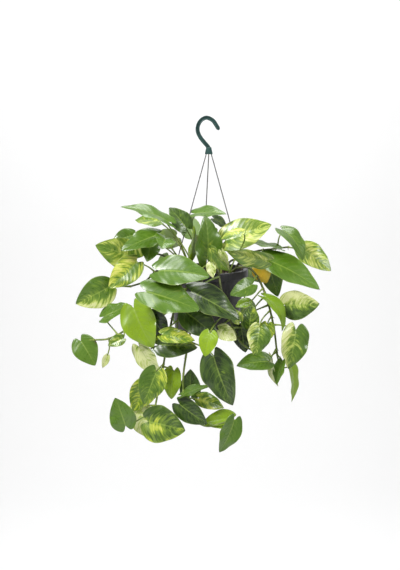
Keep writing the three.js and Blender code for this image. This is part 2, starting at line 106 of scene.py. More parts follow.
def srgb(red, green, blue):
    """A colour as it looks on a screen, 0 to 255, as the linear colour that shaders use."""
    parts = [c / 255 for c in (red, green, blue)]
    return (*[p / 12.92 if p <= 0.04045 else ((p + 0.055) / 1.055) ** 2.4 for p in parts], 1)


def add_backdrop():
    """A floor that bends up into a wall behind the plant."""
    floor = cad_box[0][2] - FLOOR_DROP
    outline = [(FLOOR_FRONT, floor), (WALL_AT - BEND_RADIUS, floor)]
    for step in range(1, BEND_STEPS + 1):
        angle = step / BEND_STEPS * pi / 2
        outline.append((WALL_AT - BEND_RADIUS + BEND_RADIUS * sin(angle),
                        floor + BEND_RADIUS * (1 - cos(angle))))
    outline.append((WALL_AT, floor + WALL_HEIGHT))
    points = [(x, y, z) for x in (-SHEET_HALF, SHEET_HALF) for y, z in outline]
    count = len(outline)
    faces = [(i, i + count, i + count + 1, i + 1) for i in range(count - 1)]
    mesh = bpy.data.meshes.new("backdrop")
    mesh.from_pydata(points, [], faces)
    mesh.shade_smooth()
    material = bpy.data.materials.new("white paper")
    material.use_nodes = True
    shader = material.node_tree.nodes["Principled BSDF"]
    shader.inputs["Base Color"].default_value = (0.93, 0.93, 0.93, 1)
    shader.inputs["Roughness"].default_value = 1
    mesh.materials.append(material)
    sheet = bpy.data.objects.new("backdrop", mesh)
    scene.collection.objects.link(sheet)


add_backdrop()
print("the wall stands", WALL_AT, "m behind the plant")


# %% Lamps and sky
def add_lamp(name, place, size, power, target=CAMERA_TARGET):
    """A square soft lamp that faces the middle of the plant, or another target."""
    lamp = bpy.data.objects.new(name, bpy.data.lights.new(name, "AREA"))
    lamp.data.size = size
    lamp.data.energy = power
    lamp.location = place
    lamp.rotation_euler = (target - Vector(place)).to_track_quat("-Z", "Y").to_euler()
    scene.collection.objects.link(lamp)


add_lamp("key", (-1.5, -1.7, 1.6), 0.8, 72)
add_lamp("fill", (1.8, -1.5, 0.9), 0.8, 24)
add_lamp("top", (0.2, 0.3, 1.8), 1.0, 22)
add_lamp("wall", (0, 1.9, 1.7), 3.0, 70, Vector((0, WALL_AT, -1.2)))
sky = bpy.data.worlds.new("sky")
sky.use_nodes = True
sky.node_tree.nodes["Background"].inputs["Color"].default_value = (1, 1, 1, 1)
sky.node_tree.nodes["Background"].inputs["Strength"].default_value = 0.34
scene.world = sky
print("lamps:", ", ".join(lamp.name for lamp in bpy.data.lights))

# %% [markdown]
# ## Writing node trees as sums
#
# A material or a Geometry Nodes tree is a drawing of boxes and wires, which is long to build
# by hand. One small class wraps a socket, so that `1 - across * 2` adds the Math nodes it
# needs. Any other node comes from one function, which takes its settings and its sockets.


# %% Sums on sockets
def add_node(tree, kind, sockets=(), output=0, **settings):
    """Add a node: its settings first, then the values or links of its sockets."""
    node = tree.nodes.new(kind)
    for name, value in settings.items():
        setattr(node, name, value)
    pairs = sockets.items() if isinstance(sockets, dict) else enumerate(sockets)
    for key, value in pairs:
        if isinstance(value, Flow):
            tree.links.new(value.socket, node.inputs[key])
        elif value is not None:
            node.inputs[key].default_value = value
    return Flow(tree, node.outputs[output])


class Flow:
    """A number or vector that flows out of a socket, and can be used in sums."""

    def __init__(self, tree, socket):
        self.tree = tree
        self.socket = socket

    def math(self, operation, *values):
        return add_node(self.tree, "ShaderNodeMath", values, operation=operation)

    def __add__(self, other):
        return self.math("ADD", self, other)

    def __radd__(self, other):
        return self.math("ADD", other, self)

    def __sub__(self, other):
        return self.math("SUBTRACT", self, other)

    def __rsub__(self, other):
        return self.math("SUBTRACT", other, self)

    def __mul__(self, other):
        return self.math("MULTIPLY", self, other)

    def __rmul__(self, other):
        return self.math("MULTIPLY", other, self)

    def __truediv__(self, other):
        return self.math("DIVIDE", self, other)

    def __rtruediv__(self, other):
        return self.math("DIVIDE", other, self)

    def __pow__(self, other):
        return self.math("POWER", self, other)

    def __neg__(self):
        return self.math("MULTIPLY", self, -1.0)

    def __abs__(self):
        return self.math("ABSOLUTE", self)

    def sin(self):
        return self.math("SINE", self)

    def cos(self):
        return self.math("COSINE", self)

    def exp(self):
        return self.math("EXPONENT", self)

    def parts(self):
        """The x, y and z of a vector."""
        node = self.tree.nodes.new("ShaderNodeSeparateXYZ")
        self.tree.links.new(self.socket, node.inputs[0])
        return [Flow(self.tree, out) for out in node.outputs]

    def step(self, low, high):
        """A soft step from 0 at low to 1 at high."""
        return add_node(self.tree, "ShaderNodeMapRange", [self, low, high, 0.0, 1.0],
                        interpolation_type="SMOOTHSTEP")


def vector(tree, x, y, z):
    return add_node(tree, "ShaderNodeCombineXYZ", [x, y, z])


print("node sums are ready")

# %% [markdown]
# ## Trees that make shapes
#
# A Geometry Nodes tree makes a shape from a few named inputs, so one tree can make every leaf.
# The next helpers start a tree, end it with real faces and a material, and turn what it makes
# into a plain mesh.


# %% Geometry Nodes helpers
def tree_with_inputs(name, inputs):
    """A Geometry Nodes tree: the tree, its inputs as flows, and each input's identifier."""
    tree = bpy.data.node_groups.new(name, "GeometryNodeTree")
    tree.interface.new_socket("Geometry", in_out="OUTPUT", socket_type="NodeSocketGeometry")
    for label, kind in inputs.items():
        tree.interface.new_socket(label, in_out="INPUT", socket_type=f"NodeSocket{kind}")
    entry = tree.nodes.new("NodeGroupInput")
    flows = {label: Flow(tree, entry.outputs[label]) for label in inputs}
    items = [item for item in tree.interface.items_tree if item.in_out == "INPUT"]
    return tree, flows, {item.name: item.identifier for item in items}


def finish_tree(tree, geometry, material):
    """Realize the instances, set the material and send the result out."""
    real = add_node(tree, "GeometryNodeRealizeInstances", [geometry])
    coated = add_node(tree, "GeometryNodeSetMaterial", {"Geometry": real, "Material": material})
    end = tree.nodes.new("NodeGroupOutput")
    tree.links.new(coated.socket, end.inputs[0])


def grown(mesh, tree, identifiers, **values):
    """Run a tree on a mesh with the given input values, and return the plain mesh it makes."""
    seedling = bpy.data.objects.new("seedling", mesh)
    scene.collection.objects.link(seedling)
    modifier = seedling.modifiers.new("grow", "NODES")
    modifier.node_group = tree
    for label, value in values.items():
        modifier[identifiers[label.replace("_", " ")]] = value
    evaluated = seedling.evaluated_get(bpy.context.evaluated_depsgraph_get())
    result = bpy.data.meshes.new_from_object(evaluated)
    bpy.data.objects.remove(seedling)
    return result


print("tree helpers are ready")

# %% [markdown]
# ## The plant as lists
#
# A plant has no rule that says where each leaf is, so its vines and leaves are lists, in
# millimetres from the hook's seat. Each vine has a route, which starts at a place on the soil,
# and its leaves. A leaf is: name, base and tip of the blade, turn about the line between them
# (0 faces the front), half width over length, bend along its length in degrees, and its
# pattern. A crown leaf grows straight from the soil, at the place that ends its row. The lists
# are the same as the plain model's, so that each fine piece fits its plain one.

# %% The crown
VINES = {}

VINES["crown"] = {"route": [], "leaves": [
    ["top_left_long", [-82, -72, -207], [-178, -85, -176], 68, 0.27, 30, "green", [-28, -50]],
    ["top_left_dark", [-45, -46, -222], [-80, -36, -182], 20, 0.42, 20, "dark", [-12, -12]],
    ["top_left_behind", [-100, 0, -215], [-155, 30, -215], 60, 0.40, 15, "marbled", [-40, 10]],
    ["left_wavy", [-85, -92, -240], [-92, -137, -257], 0, 0.48, 30, "green", [-42, -58]],
    ["left_bright", [-105, -70, -236], [-178, -95, -266], 45, 0.32, 25, "green", [-58, -14]],
    ["left_sheen", [-120, -50, -250], [-125, -85, -290], -15, 0.45, 20, "green", [-46, -6]],
    ["centre_upright", [0, -62, -286], [-5, -60, -195], 30, 0.36, 20, "green", [0, -44]],
    ["centre_edge_on", [-38, -76, -288], [-28, -68, -215], 70, 0.34, 20, "lime", [-18, -50]],
    ["top_flat", [-25, -30, -195], [40, -45, -195], -65, 0.36, 20, "green", [0, 5]],
    ["top_right_marbled", [42, -39, -249], [135, -43, -217], -30, 0.37, 25, "marbled", [30, -4]],
    ["top_right_yellow", [70, -101, -226], [28, -110, -240], 50, 0.28, 20, "yellow", [46, -53]],
    ["right_tongue", [10, -120, -262], [45, -135, -302], 50, 0.36, 20, "marbled", [6, -70]],
    ["back_upright", [-30, 50, -245], [-60, 80, -200], 180, 0.38, 25, "green", [-15, 25]],
    ["back_wide", [20, 75, -250], [-30, 115, -290], 160, 0.38, 30, "marbled", [0, 40]],
    ["back_right_tall", [50, 45, -250], [105, 80, -235], 150, 0.38, 25, "dark", [25, 25]],
    ["back_left_flat", [-70, 55, -255], [-120, 95, -280], 170, 0.38, 25, "lime", [-40, 35]],
]}
print("groups so far:", len(VINES))

# %% Vines at the left
VINES["vine_left_high"] = {"route": [
    [-56, 0], [-72, -8, -300], [-100, -16, -284], [-130, -20, -282]], "leaves": [
    ["left_marbled", [-155, -30, -290], [-235, -45, -260], 10, 0.40, 15, "marbled"],
    # this leaf's very dark green is painted shade
    ["left_shade", [-130, -15, -260], [-170, 0, -285], 10, 0.42, 15, "dark"],
    ["left_small_high", [-160, 5, -245], [-205, 0, -260], 25, 0.42, 20, "green"],
]}
VINES["vine_left_mid"] = {"route": [
    [-54, -24], [-76, -34, -306], [-92, -42, -308], [-112, -52, -318], [-130, -58, -335],
    [-160, -62, -345]], "leaves": [
    ["left_yellow", [-150, -75, -295], [-205, -85, -345], 10, 0.38, 20, "yellow"],
    ["left_half_cream", [-208, -65, -347], [-275, -75, -380], 0, 0.45, 20, "half"],
]}
VINES["vine_left_low"] = {"route": [
    [-44, -42], [-60, -62, -306], [-80, -82, -312], [-105, -100, -350], [-140, -110, -400],
    [-170, -105, -430], [-205, -95, -450], [-235, -85, -455]], "leaves": [
    ["left_folded", [-215, -85, -405], [-155, -100, -380], -55, 0.36, 30, "green"],
    ["left_big_lime", [-150, -130, -380], [-110, -140, -460], 5, 0.42, 25, "lime"],
    ["left_far_heart", [-265, -75, -460], [-235, -85, -510], 0, 0.48, 20, "green"],
    ["left_tiny", [-175, -120, -445], [-205, -120, -460], 20, 0.40, 10, "marbled"],
    ["left_newest", [-210, -85, -490], [-220, -85, -515], 0, 0.30, 10, "cream"],
]}
print("groups so far:", len(VINES))

# %% Vines at the front
VINES["vine_long_left"] = {"route": [
    [-30, -54], [-37, -75, -307], [-46, -94, -315], [-64, -108, -370], [-80, -112, -440],
    [-94, -114, -520], [-108, -110, -590], [-112, -106, -635]], "leaves": [
    ["long_left_cream", [-140, -110, -465], [-95, -125, -520], 30, 0.38, 20, "cream"],
    ["long_left_splash", [-105, -150, -510], [-130, -155, -575], 0, 0.42, 20, "splash"],
    ["long_left_under", [-125, -105, -545], [-155, -100, -605], 0, 0.42, 15, "yellow"],
    ["long_left_olive", [-170, -135, -625], [-190, -140, -565], 0, 0.45, 15, "green"],
    ["long_left_big", [-120, -155, -612], [-45, -165, -628], -5, 0.52, 20, "splash"],
    ["long_left_striped", [-145, -94, -600], [-120, -94, -665], 0, 0.42, 15, "cream"],
    ["long_left_inner", [-70, -100, -520], [-75, -95, -580], 30, 0.42, 20, "lime"],
]}
VINES["vine_long_centre"] = {"route": [
    [-6, -60], [-7, -83, -307], [-9, -100, -318], [-24, -106, -380], [-42, -118, -470],
    [-50, -120, -540], [-40, -120, -600], [-5, -122, -630], [40, -128, -620]], "leaves": [
    ["long_centre_dark", [-35, -100, -570], [-35, -95, -515], 0, 0.42, 15, "dark"],
    ["long_centre_big", [14, -150, -480], [52, -165, -575], 20, 0.37, 20, "dark"],
    ["long_centre_edge_on", [-50, -135, -560], [5, -145, -540], -75, 0.34, 15, "green"],
    ["long_centre_half", [-56, -138, -580], [0, -144, -620], 0, 0.36, 20, "dark"],
    ["long_centre_splash", [-15, -110, -575], [35, -110, -595], -30, 0.34, 15, "yellow"],
    ["long_centre_low", [50, -110, -618], [-10, -110, -628], 30, 0.36, 15, "lime"],
    ["long_centre_last", [55, -140, -615], [25, -145, -680], -25, 0.36, 20, "green"],
]}
VINES["vine_front"] = {"route": [
    [-17, -58], [-22, -81, -307], [-30, -102, -316], [-46, -122, -350], [-60, -126, -400],
    [-62, -118, -440]], "leaves": [
    ["front_big_upper", [-95, -150, -300], [5, -165, -310], -40, 0.36, 20, "green"],
    ["front_big_lower", [-120, -165, -340], [-15, -180, -375], -40, 0.36, 20, "green"],
    ["front_dark_veined", [-40, -133, -390], [20, -144, -436], -20, 0.42, 20, "dark"],
    # this leaf's very dark green is painted shade
    ["front_shade", [-115, -130, -395], [-85, -125, -445], 0, 0.42, 15, "dark"],
    ["front_splash", [-88, -157, -430], [-25, -164, -440], -50, 0.34, 20, "yellow"],
    ["front_low", [-100, -136, -455], [-20, -140, -460], -20, 0.34, 15, "splash"],
    ["crown_new", [8, -102, -292], [12, -110, -320], 20, 0.40, 10, "cream"],
]}
VINES["vine_front_right"] = {"route": [
    [16, -60], [20, -82, -307], [24, -98, -318], [30, -106, -350], [44, -110, -400],
    [66, -114, -450], [96, -112, -474]], "leaves": [
    ["front_right_gloss", [-30, -140, -345], [65, -150, -400], -45, 0.34, 25, "dark"],
    ["front_lime_tip", [5, -170, -425], [-5, -180, -470], 0, 0.42, 25, "lime"],
    ["front_right_cream", [25, -130, -425], [60, -135, -445], -25, 0.45, 15, "cream"],
    ["front_right_upright", [87, -117, -420], [91, -111, -375], 10, 0.44, 15, "splash"],
    ["right_tongue_pale", [30, -102, -268], [45, -107, -305], 50, 0.40, 15, "cream"],
]}
print("groups so far:", len(VINES))

# %% Vines at the right
VINES["vine_right_low"] = {"route": [
    [46, -40], [70, -50, -306], [90, -58, -308], [108, -66, -330], [125, -70, -370],
    [140, -72, -430], [148, -72, -490], [155, -70, -520]], "leaves": [
    # this leaf's pale half is a painted sheen
    ["front_right_sheen", [107, -131, -421], [96, -145, -475], -10, 0.46, 20, "half"],
    # this leaf's very dark green is painted shade
    ["front_right_shade", [70, -94, -420], [80, -94, -480], 0, 0.40, 15, "dark"],
    ["front_right_fresh", [65, -128, -405], [45, -130, -380], 20, 0.42, 15, "yellow"],
    ["front_right_lime", [125, -100, -420], [120, -95, -460], 0, 0.45, 15, "yellow"],
    ["front_right_lower", [125, -108, -496], [60, -128, -501], 45, 0.36, 20, "green"],
    ["right_gloss", [92, -95, -336], [46, -120, -354], 20, 0.36, 20, "green"],
    ["right_small_lime", [86, -92, -372], [58, -105, -382], 45, 0.40, 15, "lime"],
    ["right_arching", [121, -90, -364], [155, -95, -435], -55, 0.26, 95, "lime"],
    # this leaf's pale half is a painted sheen
    ["right_half_pale", [166, -60, -385], [235, -75, -380], 0, 0.46, 20, "half"],
    ["right_half_yellow", [185, -85, -435], [170, -95, -515], -15, 0.40, 20, "half"],
    ["right_narrow", [155, -100, -500], [145, -110, -545], 50, 0.36, 15, "green"],
    ["right_narrow_cream", [130, -80, -495], [150, -85, -555], 60, 0.30, 20, "cream"],
    ["right_last", [180, -55, -520], [180, -60, -595], -60, 0.30, 35, "lime"],
]}
VINES["vine_right_high"] = {"route": [
    [58, -8], [76, -8, -294], [104, -10, -278], [140, -14, -272], [172, -14, -268]], "leaves": [
    ["right_margined", [120, -100, -285], [40, -110, -265], -35, 0.32, 20, "marbled"],
    ["right_edge_on", [150, -32, -268], [80, -58, -252], 78, 0.26, 10, "green"],
    ["right_long", [130, -56, -292], [235, -75, -350], -45, 0.30, 15, "green"],
    ["right_drooping", [160, -40, -230], [200, -65, -290], -50, 0.36, 60, "green"],
    ["right_far", [205, 0, -275], [265, -10, -320], -35, 0.40, 20, "marbled"],
    ["right_old", [112, -36, -306], [126, -40, -342], 0, 0.55, 15, "old"],
    ["right_pointed", [132, -12, -305], [152, -10, -376], 0, 0.34, 15, "green"],
]}
print("groups so far:", len(VINES))

# %% Vines at the back
VINES["vine_back_left"] = {"route": [
    [-32, 48], [-46, 70, -307], [-58, 90, -312], [-66, 104, -340], [-70, 112, -380],
    [-66, 114, -430]], "leaves": [
    ["back_left_high", [-85, 120, -310], [-105, 135, -365], 180, 0.38, 20, "green"],
    ["back_left_mid", [-45, 130, -345], [-30, 140, -405], 190, 0.38, 20, "splash"],
    ["back_left_side", [-85, 125, -390], [-100, 130, -445], 170, 0.40, 15, "marbled"],
    ["back_left_low", [-62, 130, -435], [-50, 135, -490], 180, 0.38, 15, "green"],
]}
VINES["vine_back_centre"] = {"route": [
    [4, 56], [7, 80, -307], [10, 98, -314], [14, 108, -350], [12, 112, -400], [6, 112, -440]],
    "leaves": [
    ["back_centre_high", [30, 125, -325], [50, 140, -380], 185, 0.38, 20, "yellow"],
    ["back_centre_mid", [-5, 130, -385], [-15, 135, -435], 180, 0.40, 15, "green"],
    ["back_centre_side", [30, 125, -415], [40, 130, -465], 180, 0.38, 15, "half"],
    ["back_centre_low", [5, 130, -450], [0, 130, -505], 180, 0.36, 15, "lime"],
]}
VINES["vine_back_right"] = {"route": [
    [40, 44], [55, 62, -307], [70, 78, -312], [80, 90, -345], [84, 96, -390]], "leaves": [
    ["back_right_high", [95, 95, -320], [125, 115, -365], 170, 0.38, 20, "splash"],
    ["back_right_mid", [70, 115, -365], [60, 125, -415], 190, 0.38, 15, "green"],
    ["back_right_low", [88, 105, -410], [100, 110, -465], 180, 0.38, 15, "marbled"],
    ["top_small", [15, 10, -210], [45, 20, -230], -50, 0.40, 15, "dark"],
]}

leaf_count = sum(len(vine["leaves"]) for vine in VINES.values())
print(len(VINES), "groups with", leaf_count, "leaves")

# %% [markdown]
# ## One blade
#
# All blades share one shape: a heart-shaped outline, two halves that rise from the midrib like
# a shallow V, lobes that reach back past the stalk, and a midrib that bends down in an arc. The
# shape follows a rule, so a Geometry Nodes tree makes it from a flat grid: one side of the grid
# runs along the midrib, the other goes once round the blade's section, over the top and back
# underneath. That makes a closed, thin solid in one go. Soft waves along the edge and shallow
# puckers between the side veins come from the same sums.

# %% The blade tree
BLADE_ROWS = 40  # points along the blade
BLADE_ROUND = 45  # points once round its section
BLADE_THICKNESS = 0.55 * MM
FOLD = radians(14)  # how steeply each half rises from the midrib
CURL = 0.1  # how far the edges bend down again
LOBE = 0.2  # how far the lobes reach back, over the blade's length
GROOVE_HALF = 1.3 * MM
GROOVE_DEPTH = 0.9 * MM
PUCKER = 2.0 * MM
VEIN_SLANT = 0.3  # how far back along the blade a side vein starts
VEIN_WAVES = 2 * pi * 9  # nine side veins on each side

BLADE_INPUTS = {
    "Material": "Material", "Length": "Float", "Half Width": "Float", "Bend": "Float",
    "Wave": "Float", "Phase": "Float", "Swing": "Float", "Tone": "Float",
    "Variegation": "Float", "Cream": "Float", "Lean": "Float", "Seed": "Float", "Age": "Float",
}


def blade_tree():
    tree, given, names = tree_with_inputs("blade", BLADE_INPUTS)
    grid = add_node(tree, "GeometryNodeMeshGrid", [1.0, 1.0, BLADE_ROWS, BLADE_ROUND])
    x, y, _ = add_node(tree, "GeometryNodeInputPosition").parts()
    along = (x + 0.5) ** 1.5
    turn = (y + 0.5) * (2 * pi)
    across = -turn.cos()
    over = turn.sin()  # above 0 on the upper face, below 0 on the lower face
    off_midrib = (across * across + 0.0016) ** 0.5

    length = given["Length"]
    outline = (((along + 0.03) / 1.03) ** 0.6 * pi).sin() ** 0.8
    half = given["Half Width"] * length * outline
    bend = given["Bend"]
    angle = bend * (along - 0.5)
    radius = length / ((bend * 0.5).sin() * 2.0)
    forward = radius * (angle.sin() + (bend * 0.5).sin())
    rise = radius * (angle.cos() - (bend * 0.5).cos())

    lobe_shape = 1.0 - (1.0 - off_midrib * 1.3) ** 2.0
    lobe = length * LOBE * (1.0 - along) ** 4.0 * lobe_shape
    phase = given["Phase"]
    ripple = (along * 11.0 + phase + across * 1.7).sin() + (along * 19.0 + phase * 2.0).sin() * 0.4
    wave = given["Wave"] * half * across * across * ripple
    vein_place = along - off_midrib * VEIN_SLANT
    pucker = (vein_place * VEIN_WAVES).cos() * off_midrib * (1.0 - off_midrib) * -PUCKER
    closing = (1.0 - (1.0 - along) ** 14.0) ** 0.5 * (1.0 - along) ** 0.3
    thickness = over * closing * (BLADE_THICKNESS / 2)
    distance = across * half / GROOVE_HALF
    rib = (-(distance * distance)).exp() * closing * (1.0 - along) * (over * 0.3 - 0.6)
    rib = rib * GROOVE_DEPTH  # a groove above and a raised rib below
    lift = off_midrib * half * sin(FOLD) - across * across * half * CURL
    lift = lift + wave + pucker + thickness + rib
    sideways = across * half * cos(FOLD) + length * given["Swing"] * (along * (1.0 - along))

    place_x = forward - lobe * angle.cos() + lift * angle.sin()
    place_z = rise + lobe * angle.sin() + lift * angle.cos()
    for name, parts in {
        "vein": (along, across, over),
        # leaf colour, which on some leaves also paints shade and sheen
        "colour_and_painted_light": (given["Tone"], given["Variegation"], given["Cream"]),
        "habit": (given["Lean"], given["Seed"], given["Age"]),
    }.items():
        grid = add_node(tree, "GeometryNodeStoreNamedAttribute",
                        {"Geometry": grid, "Name": name, "Value": vector(tree, *parts)},
                        data_type="FLOAT_VECTOR", domain="POINT")
    shaped = add_node(tree, "GeometryNodeSetPosition",
                      {"Geometry": grid, "Position": vector(tree, place_x, sideways, place_z)})
    closed = add_node(tree, "GeometryNodeMergeByDistance", {"Geometry": shaped, "Distance": 1e-6})
    smooth = add_node(tree, "GeometryNodeSetShadeSmooth", {"Geometry": closed})
    finish_tree(tree, smooth, given["Material"])
    return tree, names


BLADE_TREE, BLADE_NAMES = blade_tree()
print("blade tree:", len(BLADE_TREE.nodes), "nodes")

# %% [markdown]
# ## Placing a blade
#
# The tree makes a blade along X with its upper face up. A blade's own directions come from its
# base, its tip and its turn: ahead runs from base to tip, and up is the part of the direction
# to the front that is square to it, turned about it.

# %% Leaf habits and the blade's place
# tone from dark to lime, share of variegation, cream rather than yellow, one-sidedness
HABITS = {
    "green": (0.45, 0.16, 0.25, 0.0),
    # dark: a deep green, which on leaves in the shadow of others is also painted shade
    "dark": (0.12, 0.14, 0.30, 0.0),
    "lime": (0.85, 0.10, 0.10, 0.0),
    "marbled": (0.42, 0.51, 0.55, 0.0),
    "splash": (0.25, 0.42, 0.20, 0.5),
    "yellow": (0.50, 0.60, 0.25, 0.2),
    # half: one half pale; the leaf's own cream on some leaves, a painted sheen on others
    "half": (0.32, 0.50, 0.80, 1.0),
    "cream": (0.50, 0.86, 0.90, 0.0),
    "old": (0.50, 0.30, 0.30, 0.0),
}


def blade_matrix(base, tip, turn):
    """The blade's place: X ahead, Z up out of its upper face, at its base."""
    start = Vector(base) * MM
    ahead = (Vector(tip) * MM - start).normalized()
    front = Vector((0, -1, 0))
    up = (front - ahead * front.dot(ahead)).normalized()
    up = Matrix.Rotation(radians(turn), 3, ahead) @ up
    matrix = Matrix((ahead, up.cross(ahead), up)).transposed().to_4x4()
    matrix.translation = start
    return matrix


def make_blade(leaf, material):
    """The mesh of one blade, in its place."""
    name, base, tip, turn, width, bend, pattern = leaf[:7]
    rng = random.Random(name)
    tone, variegation, cream, lean = HABITS[pattern]
    mesh = grown(
        bpy.data.meshes.new("leaf"), BLADE_TREE, BLADE_NAMES,
        Material=material,
        Length=(Vector(tip) - Vector(base)).length * MM,
        Half_Width=width,
        Bend=radians(bend),
        Wave=rng.uniform(0.05, 0.11),
        Phase=rng.uniform(0, 2 * pi),
        Swing=rng.uniform(-0.10, 0.10),
        Tone=min(1.0, max(0.0, tone + rng.uniform(-0.12, 0.12))),
        Variegation=max(0.0, variegation + rng.uniform(-0.05, 0.05)),
        Cream=cream,
        Lean=lean * rng.choice((-1, 1)),
        Seed=rng.uniform(0, 50),
        Age=1.0 if pattern == "old" else 0.0,
    )
    mesh.transform(blade_matrix(base, tip, turn))
    return mesh


print("habits:", ", ".join(HABITS))

# %% [markdown]
# ## Stems and stalks
#
# Stems, leaf stalks and aerial roots are all round strands that follow a path, thicker in some
# places than in others. Each strand is a chain of points with a girth. A second tree turns all
# the chains of a piece into curves, sweeps a circle along them and closes their ends.

# %% The strand tree
STRAND_INPUTS = {"Geometry": "Geometry", "Material": "Material", "Sides": "Int"}


def strand_tree():
    tree, given, names = tree_with_inputs("strand", STRAND_INPUTS)
    curve = add_node(tree, "GeometryNodeMeshToCurve", {"Mesh": given["Geometry"]})
    girth = add_node(tree, "GeometryNodeInputNamedAttribute", {"Name": "girth"}, data_type="FLOAT")
    circle = add_node(tree, "GeometryNodeCurvePrimitiveCircle",
                      {"Resolution": given["Sides"], "Radius": 1.0}, mode="RADIUS")
    tube = add_node(tree, "GeometryNodeCurveToMesh",
                    {"Curve": curve, "Profile Curve": circle, "Scale": girth, "Fill Caps": True})
    smooth = add_node(tree, "GeometryNodeSetShadeSmooth", {"Geometry": tube})
    finish_tree(tree, smooth, given["Material"])
    return tree, names


STRAND_TREE, STRAND_NAMES = strand_tree()


def make_strands(strands, material, sides=10):
    """Sweep chains of (points, girths, skins), in metres, into one mesh."""
    points = [point for chain, _, _ in strands for point in chain]
    edges = []
    start = 0
    for chain, _, _ in strands:
        edges += [(start + i, start + i + 1) for i in range(len(chain) - 1)]
        start += len(chain)
    mesh = bpy.data.meshes.new("strands")
    mesh.from_pydata(points, edges, [])
    girth = mesh.attributes.new("girth", "FLOAT", "POINT")
    girth.data.foreach_set("value", [g for _, girths, _ in strands for g in girths])
    skin = mesh.attributes.new("skin", "FLOAT", "POINT")
    skin.data.foreach_set("value", [s for _, _, skins in strands for s in skins])
    return grown(mesh, STRAND_TREE, STRAND_NAMES, Material=material, Sides=sides)


def smooth_path(points, spacing):
    """Points about spacing apart on a smooth curve through the given points."""
    knots = [Vector(p) for p in points]
    knots = [2 * knots[0] - knots[1], *knots, 2 * knots[-1] - knots[-2]]
    path = []
    for a, b, c, d in zip(knots, knots[1:], knots[2:], knots[3:]):
        steps = max(2, round((c - b).length / spacing))
        for step in range(steps):
            t = step / steps
            slope_b, slope_c = (c - a) / 2, (d - b) / 2
            path.append(b + slope_b * t + (3 * (c - b) - 2 * slope_b - slope_c) * t**2
                        + (2 * (b - c) + slope_b + slope_c) * t**3)
    path.append(knots[-2])
    return path


print("strand tree:", len(STRAND_TREE.nodes), "nodes")

# %% [markdown]
# ## How a vine grows
#
# A vine climbs out of the soil, lies over the rim and hangs. It thickens into a ring, a node,
# wherever a leaf grows, and between leaves at a regular distance. Short brown aerial roots
# come out just below the nodes. A leaf stalk leaves the vine in a sheath, thins, and swells a
# little where it meets the blade, which it reaches from behind and below.

# %% Where vines and stalks start
PATH_SPACING = 2.5 * MM
ROOTED = 2 * MM  # how far below the soil's surface a stem starts
UPRIGHT = Vector((0, 0, 8 * MM))  # a stem's first stretch is upright

soil_low, soil_high = [Vector(corner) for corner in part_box("soil")]
SOIL_RADIUS = soil_high.x
SOIL_DOME = 4 * MM


def soil_height(x, y):
    """Height of the soil's surface, which falls a little from the middle to the wall."""
    return soil_high.z - SOIL_DOME * (hypot(x, y) / SOIL_RADIUS) ** 2


def root_point(place):
    x, y = place[0] * MM, place[1] * MM
    return Vector((x, y, soil_height(x, y) - ROOTED))


def vine_path(route):
    root = root_point(route[0])
    rest = [Vector(point) * MM for point in route[1:]]
    return smooth_path([root, root + UPRIGHT, *rest], PATH_SPACING)


def nearest_place(path, point):
    """Where on its vine a leaf grows: the nearest point, and a little nearer to the root."""
    gaps = [(p - point).length for p in path]
    nearest = gaps.index(min(gaps))
    if nearest == len(path) - 1:
        return nearest
    length = 0
    while nearest > 1 and length < 0.3 * min(gaps):
        length += (path[nearest] - path[nearest - 1]).length
        nearest -= 1
    return nearest


print("soil radius, mm:", round(SOIL_RADIUS / MM, 1))

# %% Leaf stalks
STALK_RADIUS = 1.6 * MM
STALK_DROP = 0.8 * MM  # a stalk ends this far under the blade's arc, inside its rib
STALK_REACH = 0.06  # share of the blade's length that lies behind that end
OLD, YOUNG, BARK = 0.0, 1.0, 2.0  # the skins of a strand, for the material


def stalk(leaf, foot, direction):
    """The strand of a leaf stalk, from its foot to just inside the blade."""
    _, base, tip, turn, _, bend = leaf[:6]
    matrix = blade_matrix(base, tip, turn)
    half_bend = radians(bend) / 2
    radius = (Vector(tip) - Vector(base)).length * MM / (2 * sin(half_bend))
    angle = half_bend * (2 * STALK_REACH - 1)
    end = matrix @ Vector((radius * (sin(angle) + sin(half_bend)), 0,
                           radius * (cos(angle) - cos(half_bend)) - STALK_DROP))
    forward = matrix.to_3x3() @ Vector((cos(half_bend), 0, sin(half_bend)))
    normal = matrix.to_3x3() @ Vector((-sin(half_bend), 0, cos(half_bend)))
    reach = (end - foot).length
    leave = foot + direction * (0.35 * reach)
    arrive = end - forward * (0.3 * reach) - normal * (0.16 * reach)
    steps = max(8, round(reach / (3 * MM)))
    points = []
    girths = []
    for step in range(steps + 1):
        t = step / steps
        points.append(foot * (1 - t) ** 3 + leave * (3 * t * (1 - t) ** 2)
                      + arrive * (3 * t**2 * (1 - t)) + end * t**3)
        sheath = 0.75 * (1 - min(1, t / 0.3)) ** 2
        swelling = 0.25 * max(0, 1 - abs(t - 0.93) / 0.06)
        girths.append(STALK_RADIUS * (1 + sheath + swelling - 0.15 * t))
    girths[-1] = STALK_RADIUS * 0.4
    return points, girths, [YOUNG] * len(points)


print("stalks are", 2 * STALK_RADIUS / MM, "mm thick")

# %% Stems and aerial roots
STEM_RADIUS = 2.4 * MM
NODE_SPACING = 38 * MM
NODE_HALF = 3 * MM  # half a node's length; aerial roots grow where the node ends
SKIN_LENGTH = 0.42  # metres over which a stem's skin would turn from old to young
STEM_YOUNGEST = 0.9  # a stem's skin stays a little older than a stalk's
ROOT_GIRTHS = [0.9 * MM, 0.85 * MM, 0.7 * MM, 0.25 * MM]


